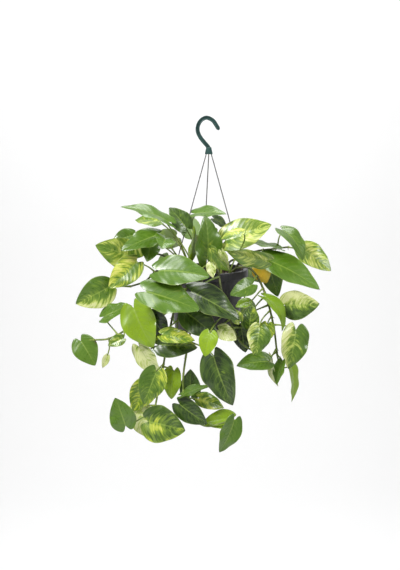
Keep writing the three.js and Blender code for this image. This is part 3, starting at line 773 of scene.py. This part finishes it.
def stem(path, places, rng):
    """The strand of a vine, with rings where leaves grow, and its short aerial roots."""
    walked = [0]
    for a, b in zip(path, path[1:]):
        walked.append(walked[-1] + (b - a).length)
    rings = [walked[place] for place in places]
    rings += [d * NODE_SPACING for d in range(1, int(walked[-1] / NODE_SPACING))
              if min(abs(d * NODE_SPACING - r) for r in rings) > NODE_SPACING / 2]
    girths = []
    for here in walked:
        ring = max(0, 1 - min(abs(here - r) for r in rings) / NODE_HALF)
        girths.append(STEM_RADIUS * (1.05 - 0.25 * here / walked[-1] + 0.3 * ring**2))
    girths[-1] *= 0.5
    strands = [(path, girths, [min(STEM_YOUNGEST, here / SKIN_LENGTH) for here in walked])]
    for ring in rings:
        index = min(range(len(walked)), key=lambda i: abs(walked[i] - ring - NODE_HALF))
        ahead = (path[min(index + 1, len(path) - 1)] - path[max(index - 1, 0)]).normalized()
        side = ahead.cross(Vector((rng.uniform(-1, 1), rng.uniform(-1, 1), 0.3))).normalized()
        length = rng.uniform(3, 8) * MM
        start = path[index]
        bow = start + side * length * 0.6
        tip = start + side * length + Vector((0, 0, -0.35 * length))
        root = [start, (start + bow) / 2, bow, tip]
        strands.append((root, ROOT_GIRTHS, [BARK] * len(root)))
    return strands


print("a node at least every", NODE_SPACING / MM, "mm")

# %% [markdown]
# ## The leaf's finish
#
# A pothos leaf is waxy and bright green. Its yellow and cream marks follow the side veins,
# because each streak is one line of pale cells that grew with the leaf. So the pattern is
# worked out in the leaf's own coordinates: along the midrib and across to the edge, slanted
# the way the side veins slant. The same noise is stretched along the veins, and a share of it
# is pale. The lower face is duller. Everything that differs from leaf to leaf, such as how
# dark or how pale it is, is stored on the blade by the tree.

# %% Material helpers
def new_material(name, roughness):
    """A material with one principled shader: its node tree and its shader."""
    material = bpy.data.materials.new(name)
    material.use_nodes = True
    tree = material.node_tree
    shader = tree.nodes["Principled BSDF"]
    shader.inputs["Roughness"].default_value = roughness
    return material, tree, shader


def link(tree, flow, shader, socket):
    tree.links.new(flow.socket, shader.inputs[socket])


def mix(tree, factor, first, second):
    """Mix two colours."""
    return add_node(tree, "ShaderNodeMix", {0: factor, 6: first, 7: second}, output=2,
                    data_type="RGBA")


def noise(tree, coordinates, scale, detail=2.0, roughness=0.5, distortion=0.0):
    return add_node(tree, "ShaderNodeTexNoise",
                    {"Vector": coordinates, "Scale": scale, "Detail": detail,
                     "Roughness": roughness, "Distortion": distortion})


def attribute(tree, name, output=1):
    return add_node(tree, "ShaderNodeAttribute", output=output, attribute_name=name)


def bump(tree, height, strength, distance):
    return add_node(tree, "ShaderNodeBump",
                    {"Strength": strength, "Distance": distance, "Height": height})


print("material helpers are ready")


# %% Leaf material
def leaf_material():
    material, tree, shader = new_material("waxy leaf", 0.36)
    along, across, over = attribute(tree, "vein").parts()
    # leaf colour, which on some leaves also paints shade and sheen
    tone, variegation, cream = attribute(tree, "colour_and_painted_light").parts()
    lean, seed, age = attribute(tree, "habit").parts()
    off = abs(across)
    slant = along - off ** 1.2 * VEIN_SLANT

    broad = noise(tree, vector(tree, slant * 2.2, across * 1.1, seed), 1.0)
    streaks = noise(tree, vector(tree, slant * 16.0, across * 1.3, seed + 9.0), 1.0, 2.0, 0.6)
    fine = noise(tree, vector(tree, slant * 46.0, across * 4.0, seed + 21.0), 1.0, 2.0)
    field = broad * 0.42 + streaks * 0.43 + fine * 0.15 + across * lean * 0.16
    limit = 0.74 - variegation * 0.40
    light = field.step(limit - 0.09, limit - 0.03)
    pale = field.step(limit - 0.01, limit + 0.03)
    paler = field.step(limit + 0.04, limit + 0.12)

    green = mix(tree, tone.step(0.0, 0.5), srgb(22, 44, 10), srgb(84, 122, 22))
    green = mix(tree, tone.step(0.5, 1.0), green, srgb(150, 184, 14))
    cloud = noise(tree, vector(tree, slant * 7.0, across * 3.0, seed + 33.0), 1.0, 3.0)
    green = mix(tree, cloud.step(0.40, 0.75) * 0.4, green, srgb(110, 144, 42))
    veins = (slant * VEIN_WAVES).cos().step(0.88, 1.0) * (1.0 - off) * 0.4
    green = mix(tree, veins, green, srgb(136, 162, 64))
    upper = mix(tree, light * 0.85, green, srgb(122, 150, 46))
    upper = mix(tree, pale, upper, mix(tree, cream, srgb(176, 192, 34), srgb(184, 200, 104)))
    upper = mix(tree, paler, upper, mix(tree, cream, srgb(218, 218, 78), srgb(222, 228, 170)))
    # a pale band along the leaf's edge: a painted highlight
    upper = mix(tree, off.step(0.93, 1.0) * 0.5, upper, srgb(158, 178, 84))
    midrib = off.step(0.06, 0.02) * (1.0 - along * 0.7)
    upper = mix(tree, midrib * 0.6, upper, srgb(160, 186, 84))
    aged = mix(tree, broad.step(0.3, 0.7), srgb(236, 190, 30), srgb(222, 196, 60))
    upper = mix(tree, age, upper, aged)
    lower = mix(tree, 0.4, upper, srgb(132, 158, 92))
    colour = mix(tree, over.step(-0.05, 0.05), lower, upper)
    link(tree, colour, shader, "Base Color")

    gloss = cloud * 0.14 + 0.22 + (1.0 - over.step(-0.05, 0.05)) * 0.2
    link(tree, gloss, shader, "Roughness")
    cells = noise(tree, vector(tree, slant * 90.0, across * 60.0, seed), 1.0, 2.0)
    relief = cells * 0.12 + (slant * VEIN_WAVES).cos() * 0.4 * (1.0 - off)
    link(tree, bump(tree, relief, 0.25, 0.0005), shader, "Normal")
    shader.inputs["Specular IOR Level"].default_value = 0.6
    shader.inputs["Coat Weight"].default_value = 0.4
    shader.inputs["Coat Roughness"].default_value = 0.3
    return material


LEAF = leaf_material()
print("leaf material:", len(LEAF.node_tree.nodes), "nodes")

# %% [markdown]
# ## The stems' finish
#
# Young stems and stalks are smooth and green, older stems are browner towards the soil, and
# aerial roots are dull brown. The strand tree keeps the skin's number on the surface.

# %% Stem material


def stem_material():
    material, tree, shader = new_material("stem skin", 0.45)
    skin = attribute(tree, "skin", output=2)
    place = add_node(tree, "ShaderNodeTexCoord", output=3)
    patches = noise(tree, place, 60.0, 3.0)
    fine = noise(tree, place, 420.0, 2.0)
    old = mix(tree, patches.step(0.35, 0.65), srgb(58, 62, 34), srgb(92, 100, 48))
    young = mix(tree, patches.step(0.35, 0.7), srgb(112, 136, 52), srgb(158, 174, 84))
    bark = mix(tree, patches.step(0.4, 0.6), srgb(74, 54, 36), srgb(112, 86, 56))
    colour = mix(tree, skin.step(0.0, 1.0), old, young)
    colour = mix(tree, skin.step(1.4, 1.6), colour, bark)
    link(tree, colour, shader, "Base Color")
    link(tree, patches * 0.2 + 0.36, shader, "Roughness")
    link(tree, bump(tree, fine, 0.3, 0.0004), shader, "Normal")
    return material


STEM_SKIN = stem_material()
print("stem material:", len(STEM_SKIN.node_tree.nodes), "nodes")

# %% [markdown]
# ## Growing the plant
#
# Now every vine and leaf is made. A leaf that is a node of its own in the frame becomes a
# piece of its own, its blade and stalk joined; the smaller leaves join their vine's piece.


def add_piece(name, mesh, *nodes):
    """A finished piece that stands for CAD nodes."""
    piece = bpy.data.objects.new(name, mesh)
    scene.collection.objects.link(piece)
    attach(piece, "root")
    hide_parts(*nodes)
    return piece


def joined(meshes):
    """One mesh of several, with the materials and attributes of all."""
    parts = [bpy.data.objects.new("part", mesh) for mesh in meshes]
    for part in parts:
        scene.collection.objects.link(part)
    with bpy.context.temp_override(active_object=parts[0], selected_editable_objects=parts):
        bpy.ops.object.join()
    mesh = parts[0].data
    bpy.data.objects.remove(parts[0])
    return mesh


def box_error(piece, node):
    """The largest difference between a piece's box and its node's box, in millimetres."""
    corners = [vertex.co for vertex in piece.data.vertices]
    low = [min(c[i] for c in corners) for i in range(3)]
    high = [max(c[i] for c in corners) for i in range(3)]
    node_low, node_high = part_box(node)
    return max(abs(a - b) for a, b in zip([*low, *high], [*node_low, *node_high])) / MM


def grow_vine(vine, route, leaves):
    """The pieces of one vine, or of the crown, which has no vine. Returns their box errors."""
    errors = {}
    path = vine_path(route) if route else None
    places = [nearest_place(path, Vector(leaf[1]) * MM) if path else None for leaf in leaves]
    meshes = []
    strands = stem(path, places, random.Random(vine)) if path else []
    for leaf, place in zip(leaves, places):
        if path:
            foot = path[place]
            direction = Vector(leaf[1]) * MM - foot
            if place < len(path) - 1:
                ahead = (path[place + 1] - path[place]).normalized()
                direction -= ahead * (0.7 * direction.dot(ahead))
            direction.normalize()
        else:
            foot = root_point(leaf[7])
            direction = Vector((0, 0, 1))
        blade = make_blade(leaf, LEAF)
        strand = stalk(leaf, foot, direction)
        node = "leaf_" + leaf[0]
        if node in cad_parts:
            piece = add_piece(leaf[0], joined([blade, make_strands([strand], STEM_SKIN)]), node)
            errors[node] = box_error(piece, node)
        else:
            meshes.append(blade)
            strands.append(strand)
    if path:
        growth = joined([make_strands(strands, STEM_SKIN), *meshes])
        piece = add_piece(vine + "_growth", growth, vine)
        errors[vine] = box_error(piece, vine)
    return errors


errors = {}
for vine, growth in VINES.items():
    errors.update(grow_vine(vine, growth["route"], growth["leaves"]))
worst = max(errors, key=errors.get)
print(len(errors), "plant pieces; box differences up to", round(errors[worst], 1), "mm,", worst)

# %% [markdown]
# ## The pot
#
# The pot is blown from black plastic in one piece: a thin, slightly tapering wall with a rim
# that turns outwards and down. A shape that is the same all round is a lathe: its profile, from
# the middle of the floor up the outside, over the rim and down the inside, is spun about the
# pot's axis. Corners of moulded plastic are never sharp, so each corner of the profile is
# replaced with a small arc. The holes for drainage and for the wires are cut afterwards.

# %% Lathe with rounded corners
pot_low, pot_high = [Vector(corner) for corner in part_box("pot")]
POT_WALL = 1.6 * MM
POT_FLOOR = 2.4 * MM
RIM_HEIGHT = 16 * MM
MOUTH_RADIUS = 80 * MM
BASE_RADIUS = 69 * MM
RIM_RADIUS = pot_high.x
RIM_TOP = pot_high.z
POT_BASE = pot_low.z
WIRE_CIRCLE = (MOUTH_RADIUS + RIM_RADIUS - POT_WALL) / 2
WIRE_ANGLES = {"wire_front_left": -145, "wire_back": 95, "wire_front_right": -25}
CORNER_RADIUS = 1.6 * MM
ROUND = 128  # points round the pot


def rounded(corners, radius):
    """The corners of an outline, each replaced with an arc of about the given radius."""
    points = [Vector(corners[0])]
    for before, corner, after in zip(corners, corners[1:], corners[2:]):
        corner = Vector(corner)
        back, ahead = Vector(before) - corner, Vector(after) - corner
        reach = min(radius, back.length / 2, ahead.length / 2)
        start, end = corner + back.normalized() * reach, corner + ahead.normalized() * reach
        for step in range(5):
            t = step / 4
            points.append(start * (1 - t) ** 2 + corner * (2 * t * (1 - t)) + end * t**2)
    points.append(Vector(corners[-1]))
    return points


def finished_mesh(form, name):
    """The mesh of a form, which is freed."""
    mesh = bpy.data.meshes.new(name)
    form.to_mesh(mesh)
    form.free()
    return mesh


def bridge(form, rings, count):
    """Faces between neighbouring rings of corners; a ring may be a single corner."""
    for low, high in zip(rings, rings[1:]):
        for i in range(count):
            j = (i + 1) % count
            loop = [low[i % len(low)], low[j % len(low)], high[j % len(high)], high[i % len(high)]]
            form.faces.new(dict.fromkeys(loop))


def lathed(profile, count):
    """A closed solid: a profile of (radius, height) from axis to axis, spun about Z."""
    form = bmesh.new()
    rings = []
    for radius, height in profile:
        if radius < 1e-6:
            rings.append([form.verts.new((0, 0, height))])
        else:
            turns = [2 * pi * i / count for i in range(count)]
            rings.append([form.verts.new((radius * cos(a), radius * sin(a), height)) for a in turns])
    bridge(form, rings, count)
    bmesh.ops.recalc_face_normals(form, faces=form.faces)
    mesh = finished_mesh(form, "lathed")
    mesh.shade_smooth()
    return mesh


def wall_radius(height):
    return BASE_RADIUS + (MOUTH_RADIUS - BASE_RADIUS) * (height - POT_BASE) / (RIM_TOP - POT_BASE)


def pot_profile():
    under = RIM_TOP - POT_WALL
    foot = 1.2 * MM  # the floor stands on a low ring
    return rounded([
        (0, POT_BASE + foot),
        (BASE_RADIUS * 0.84, POT_BASE + foot),
        (BASE_RADIUS * 0.87, POT_BASE),
        (BASE_RADIUS, POT_BASE),
        (wall_radius(under), under),
        (RIM_RADIUS - POT_WALL, under),
        (RIM_RADIUS - POT_WALL, RIM_TOP - RIM_HEIGHT),
        (RIM_RADIUS, RIM_TOP - RIM_HEIGHT),
        (RIM_RADIUS, RIM_TOP),
        (MOUTH_RADIUS - POT_WALL, RIM_TOP),
        (wall_radius(POT_BASE + POT_FLOOR) - POT_WALL, POT_BASE + POT_FLOOR),
        (0, POT_BASE + POT_FLOOR),
    ], CORNER_RADIUS)


print("pot profile:", len(pot_profile()), "points")

# %% [markdown]
# ## Holes
#
# Eight round holes let water out of the floor, and three small ones in the rim take the wires.
# A hole is cut by a rod and a Boolean modifier, because the wall round it must stay closed.
# The same function joins two solids into one, which the hook needs later.

# %% Cut the holes
DRAIN_COUNT = 8
DRAIN_CIRCLE = 44 * MM
DRAIN_RADIUS = 4.5 * MM
WIRE_HOLE_RADIUS = 1.6 * MM


def combined(mesh, others, operation):
    """The mesh joined with the other meshes, or with them taken out of it."""
    body = bpy.data.objects.new("body", mesh)
    scene.collection.objects.link(body)
    tools = []
    for other in others:
        tool = bpy.data.objects.new("tool", other)
        scene.collection.objects.link(tool)
        tools.append(tool)
        modifier = body.modifiers.new("combine", "BOOLEAN")
        modifier.operation = operation
        modifier.solver = "EXACT"
        modifier.object = tool
    evaluated = body.evaluated_get(bpy.context.evaluated_depsgraph_get())
    result = bpy.data.meshes.new_from_object(evaluated)
    for item in [body, *tools]:
        bpy.data.objects.remove(item)
    return result


def polar(distance, turn, height):
    """A point at a distance from the middle, a turn in degrees and a height."""
    return Vector((distance * cos(radians(turn)), distance * sin(radians(turn)), height))


def hole_cutter(centre, radius, depth):
    """An upright rod, to cut a round hole."""
    form = bmesh.new()
    place = Matrix.Translation(centre)
    bmesh.ops.create_cone(form, cap_ends=True, segments=20, radius1=radius, radius2=radius,
                          depth=depth, matrix=place)
    return finished_mesh(form, "cutter")


def make_pot():
    drains = [hole_cutter(polar(DRAIN_CIRCLE, 360 / DRAIN_COUNT * i, POT_BASE), DRAIN_RADIUS, 12 * MM)
              for i in range(DRAIN_COUNT)]
    wires = [hole_cutter(polar(WIRE_CIRCLE, turn, RIM_TOP), WIRE_HOLE_RADIUS, 8 * MM)
             for turn in WIRE_ANGLES.values()]
    mesh = combined(lathed(pot_profile(), ROUND), drains + wires, "DIFFERENCE")
    mesh.shade_smooth()
    mesh.set_sharp_from_angle(angle=radians(40))
    return mesh


pot_mesh = make_pot()
print("pot:", len(pot_mesh.polygons), "faces")

# %% [markdown]
# ## The pot's finish
#
# Recycled black plastic is really a dark grey. It is satin, a little rougher in patches, with
# faint upright streaks that vary its gloss and relief and are painted lighter, as painted
# highlights, and pale patches of dust and dried soil water here and there.

# %% Pot plastic
def pot_material():
    material, tree, shader = new_material("charcoal plastic", 0.5)
    place = add_node(tree, "ShaderNodeTexCoord", output=3)
    x, y, z = place.parts()
    # upright streaks: they vary gloss and relief, and their lighter colour below is a painted
    # highlight
    streaks = noise(tree, vector(tree, x * 450.0, y * 450.0, z * 6.0), 1.0, 3.0)
    patches = noise(tree, place, 28.0, 3.0)
    grain = noise(tree, place, 1400.0, 2.0)
    speckle = noise(tree, place, 330.0, 2.0)
    dust = (patches + speckle * 0.5).step(0.82, 0.98) * 0.35
    # lighter along the upright streaks: painted highlight streaks
    colour = mix(tree, streaks.step(0.35, 0.7), srgb(38, 37, 40), srgb(56, 54, 59))
    colour = mix(tree, dust, colour, srgb(120, 110, 98))
    link(tree, colour, shader, "Base Color")
    link(tree, patches * 0.22 + streaks * 0.1 + 0.3, shader, "Roughness")
    relief = grain * 0.3 + streaks * 0.7
    link(tree, bump(tree, relief, 0.3, 0.0004), shader, "Normal")
    return material


pot_mesh.materials.clear()
pot_mesh.materials.append(pot_material())
add_piece("plant_pot", pot_mesh, "pot")
print("pot is in place")

# %% [markdown]
# ## The soil
#
# Potting soil is a fibrous mixture: dark crumbs, splinters of bark and a few white grains of
# perlite. The base is the filling itself, a lathe with a bumpy top. A tree then scatters
# crumbs over its upper face: one small lump, instanced with random turns and sizes.

# %% The crumb tree
SOIL_INPUTS = {"Geometry": "Geometry", "Material": "Material", "Density": "Float",
               "Smallest": "Float", "Largest": "Float", "Flatness": "Float", "Seed": "Int"}


def crumb_tree():
    tree, given, names = tree_with_inputs("crumbs", SOIL_INPUTS)
    _, _, up = add_node(tree, "GeometryNodeInputNormal").parts()
    upper = up.math("GREATER_THAN", up, 0.5)
    points = add_node(tree, "GeometryNodeDistributePointsOnFaces",
                      {"Mesh": given["Geometry"], "Selection": upper,
                       "Density": given["Density"], "Seed": given["Seed"]})
    lump = add_node(tree, "GeometryNodeMeshIcoSphere", {"Radius": 1.0, "Subdivisions": 2})
    place = add_node(tree, "GeometryNodeInputPosition")
    bumps = noise(tree, place, 1.4, 2.0)
    rough = add_node(tree, "ShaderNodeVectorMath", [place, (bumps - 0.5) * 1.1],
                     operation="MULTIPLY")
    lump = add_node(tree, "GeometryNodeSetPosition", {"Geometry": lump, "Offset": rough})
    flat = add_node(tree, "GeometryNodeTransform",
                    {"Geometry": lump, "Scale": vector(tree, 1.0, 0.7, given["Flatness"])})
    turn = add_node(tree, "FunctionNodeRandomValue",
                    {0: (-pi, -pi, -pi), 1: (pi, pi, pi), "Seed": 3}, data_type="FLOAT_VECTOR")
    size = add_node(tree, "FunctionNodeRandomValue",
                    {2: given["Smallest"], 3: given["Largest"], "Seed": 5}, output=1)
    crumbs = add_node(tree, "GeometryNodeInstanceOnPoints",
                      {"Points": points, "Instance": flat, "Rotation": turn, "Scale": size})
    finish_tree(tree, crumbs, given["Material"])
    return tree, names


CRUMB_TREE, CRUMB_NAMES = crumb_tree()
print("crumb tree:", len(CRUMB_TREE.nodes), "nodes")

# %% Soil in the pot
SOIL_GAP = 0.65 * MM  # between the filling and the pot's wall
CRUMB_DEPTH = 2.5 * MM  # the filling's top is lower, and crumbs make up the rest
SOIL_RINGS = 24


def soil_material(name, dark, light):
    material, tree, shader = new_material(name, 0.95)
    place = add_node(tree, "ShaderNodeTexCoord", output=3)
    clods = noise(tree, place, 160.0, 3.0)
    grain = noise(tree, place, 900.0, 3.0)
    colour = mix(tree, (clods * 0.6 + grain * 0.4).step(0.38, 0.64), dark, light)
    link(tree, colour, shader, "Base Color")
    link(tree, bump(tree, clods + grain * 0.5, 0.7, 0.0012), shader, "Normal")
    return material


def make_soil():
    """The filling, with crumbs, bark and perlite lying on it."""
    edge = wall_radius(soil_high.z - SOIL_DOME) - POT_WALL - SOIL_GAP
    foot = wall_radius(soil_low.z) - POT_WALL - SOIL_GAP
    radii = [edge * (1 - i / SOIL_RINGS) for i in range(SOIL_RINGS)]
    top = [(radius, soil_height(radius, 0) - CRUMB_DEPTH) for radius in radii]
    profile = [(0, soil_low.z), (foot, soil_low.z), *top, (0, soil_high.z - CRUMB_DEPTH)]
    filling = lathed(profile, 96)
    rng = random.Random("soil")
    for vertex in filling.vertices:
        if vertex.co.z > soil_high.z - 8 * MM and hypot(vertex.co.x, vertex.co.y) < edge - 1 * MM:
            vertex.co.z += rng.uniform(-0.8, 0.8) * MM
    peat = soil_material("peat", srgb(34, 24, 18), srgb(70, 50, 36))
    bark = soil_material("bark", srgb(74, 48, 30), srgb(128, 90, 58))
    perlite = soil_material("perlite", srgb(190, 186, 176), srgb(232, 230, 222))
    meshes = []
    for material, density, smallest, largest, flatness in (
        (peat, 90000.0, 0.5, 1.5, 0.8),
        (bark, 9000.0, 1.0, 2.4, 0.3),
        (perlite, 2500.0, 0.5, 1.1, 0.9),
    ):
        meshes.append(grown(filling.copy(), CRUMB_TREE, CRUMB_NAMES, Material=material,
                            Density=density, Smallest=smallest * MM, Largest=largest * MM,
                            Flatness=flatness, Seed=len(meshes)))
    filling.materials.append(peat)
    return joined([filling, *meshes])


soil_mesh = make_soil()
add_piece("potting_soil", soil_mesh, "soil")
print("soil:", len(soil_mesh.polygons), "faces")

# %% [markdown]
# ## The hook
#
# The hook is moulded in one piece. Its rod has the section of an I-beam: two flanges and a thin
# web, which is stiff and needs little plastic. The rod is swept along the hook's centreline,
# the free end narrows and the lower end flows into a collar that grips the three wires. A
# sweep of a rounded section and a bevelled block, joined, give the soft edges of a moulding.

# %% The hook's rod
HOOK_LINE = [(25, -21), (19, -11), (12, -1.5), (0, 4.3), (-10, 1), (-17, -7), (-20, -17),
             (-19, -27), (-14, -37), (-7, -46), (0, -54), (3.5, -59)]  # X, Z; millimetres
ROD_HALF = 4.3 * MM
ROD_ACROSS = 4.0 * MM
WEB_HALF = 1.3 * MM
FLANGE = 2.0 * MM


def rod_section():
    """One quarter of the I-beam's outline, mirrored twice."""
    inner = ROD_HALF - FLANGE
    quarter = [(ROD_HALF, 0), (ROD_HALF, ROD_ACROSS), (inner, ROD_ACROSS), (inner, WEB_HALF),
               (0, WEB_HALF)]
    half = quarter + [(-a, b) for a, b in reversed(quarter[:-1])]
    whole = half + [(a, -b) for a, b in reversed(half[1:-1])]
    return rounded([*whole, whole[0]], 0.7 * MM)[:-1]


def make_rod():
    """The rod: its section carried along the centreline, smaller at the free end."""
    path = smooth_path([Vector((x, 0, z)) * MM for x, z in HOOK_LINE], 1.5 * MM)
    section = rod_section()
    form = bmesh.new()
    rings = []
    for index, point in enumerate(path):
        ahead = (path[min(index + 1, len(path) - 1)] - path[max(index - 1, 0)]).normalized()
        outward = ahead.cross(Vector((0, 1, 0)))
        size = min(1, 0.55 + 0.15 * index)
        rings.append([form.verts.new(point + outward * (a * size) + Vector((0, b * size, 0)))
                      for a, b in section])
    bridge(form, rings, len(section))
    form.faces.new(rings[0])
    form.faces.new(rings[-1])
    bmesh.ops.recalc_face_normals(form, faces=form.faces)
    return finished_mesh(form, "rod")


rod_mesh = make_rod()
print("rod:", len(rod_mesh.polygons), "faces")

# %% The collar, joined to the rod
COLLAR_CENTRE = 3.5 * MM
COLLAR_TOP = -57 * MM
COLLAR_SIZE = Vector((17, 13, 15)) * MM
COLLAR_BOTTOM = COLLAR_TOP - COLLAR_SIZE.z
COLLAR_TOP_SHARE = 0.62  # width of the collar's top over its bottom
SOCKET_SPACING = 5.6 * MM


def make_hook():
    """The rod and the collar as one solid, its edges softened, with three sockets for wires."""
    form = bmesh.new()
    centre = Vector((COLLAR_CENTRE, 0, COLLAR_TOP - COLLAR_SIZE.z / 2))
    bmesh.ops.create_cube(form, size=1, matrix=Matrix.Translation(centre) @ Matrix.Diagonal(
        (*COLLAR_SIZE, 1)))
    for corner in form.verts:
        if corner.co.z > centre.z:
            corner.co.x = centre.x + (corner.co.x - centre.x) * COLLAR_TOP_SHARE
    bmesh.ops.bevel(form, geom=form.edges[:], offset=1.6 * MM, segments=5, profile=0.5,
                    affect="EDGES")
    whole = combined(finished_mesh(form, "collar"), [rod_mesh], "UNION")
    places = [COLLAR_CENTRE + i * SOCKET_SPACING for i in (-1, 0, 1)]
    sockets = [hole_cutter((x, 0, COLLAR_BOTTOM), WIRE_HOLE_RADIUS, 18 * MM) for x in places]
    mesh = combined(whole, sockets, "DIFFERENCE")
    mesh.shade_smooth()
    mesh.set_sharp_from_angle(angle=radians(35))
    return mesh


hook_mesh = make_hook()
print("hook:", len(hook_mesh.polygons), "faces")

# %% [markdown]
# ## The hook's finish
#
# The moulding is a dark green plastic with a satin skin. The skin shows faint flow lines where
# the melt met, and it is polished a little where hands and nails have rubbed it.

# %% Hook plastic
def hook_material():
    material, tree, shader = new_material("green plastic", 0.4)
    place = add_node(tree, "ShaderNodeTexCoord", output=3)
    flow = noise(tree, place, 90.0, 3.0, 0.5, 1.5)
    grain = noise(tree, place, 1600.0, 2.0)
    scratches = noise(tree, place, 600.0, 2.0, 0.5, 3.0).step(0.66, 0.70)
    colour = mix(tree, flow.step(0.35, 0.65), srgb(38, 68, 64), srgb(54, 86, 82))
    colour = mix(tree, scratches * 0.25, colour, srgb(92, 126, 120))
    link(tree, colour, shader, "Base Color")
    link(tree, flow * 0.25 + 0.24, shader, "Roughness")
    link(tree, bump(tree, grain * 0.4 + flow, 0.25, 0.0004), shader, "Normal")
    return material


hook_mesh.materials.clear()
hook_mesh.materials.append(hook_material())
add_piece("plastic_hook", hook_mesh, "hook")
print("hook is in place")

# %% [markdown]
# ## The wires
#
# Three galvanised wires run from the collar to the rim. Each is pushed through a hole in the
# rim from above and its end is bent along the underside, so it can't pull out. They are strands
# like the stems, so the same tree makes them, with steel for a material.

# %% Hanging wires
WIRE_RADIUS = 1.1 * MM
WIRE_SOCKETS = {"wire_front_left": -1, "wire_back": 0, "wire_front_right": 1}


def steel_material():
    material, tree, shader = new_material("galvanised steel", 0.35)
    shader.inputs["Metallic"].default_value = 0.5
    place = add_node(tree, "ShaderNodeTexCoord", output=3)
    spangle = noise(tree, place, 300.0, 3.0)
    drawn = noise(tree, place, 1500.0, 2.0)
    colour = mix(tree, spangle.step(0.4, 0.62), srgb(84, 82, 85), srgb(116, 113, 116))
    link(tree, colour, shader, "Base Color")
    link(tree, spangle * 0.3 + 0.25, shader, "Roughness")
    link(tree, bump(tree, drawn, 0.2, 0.0002), shader, "Normal")
    return material


STEEL = steel_material()


def make_wire(name):
    """A wire: straight from its socket to the rim, through the hole and bent round under it."""
    angle = WIRE_ANGLES[name]
    x = COLLAR_CENTRE + WIRE_SOCKETS[name] * SOCKET_SPACING
    bent = degrees(5 * MM / WIRE_CIRCLE) * (1 if cos(radians(angle)) > 0 else -1)
    start = [Vector((x, 0, COLLAR_BOTTOM + height * MM)) for height in (7.5, 3, -0.5)]
    end = [polar(WIRE_CIRCLE, angle + bent * share, RIM_TOP + height * MM)
           for share, height in ((0, 5), (0, 1), (0, -5), (0.4, -7.5), (1, -6.5), (1, -5))]
    straight = [start[-1].lerp(end[0], part / 12) for part in range(1, 12)]
    path = smooth_path(start + straight + end, 1.2 * MM)
    return make_strands([(path, [WIRE_RADIUS] * len(path), [OLD] * len(path))], STEEL, sides=12)


for name in WIRE_SOCKETS:
    add_piece(name.replace("wire", "steel_wire"), make_wire(name), name)
print(len(WIRE_SOCKETS), "wires")
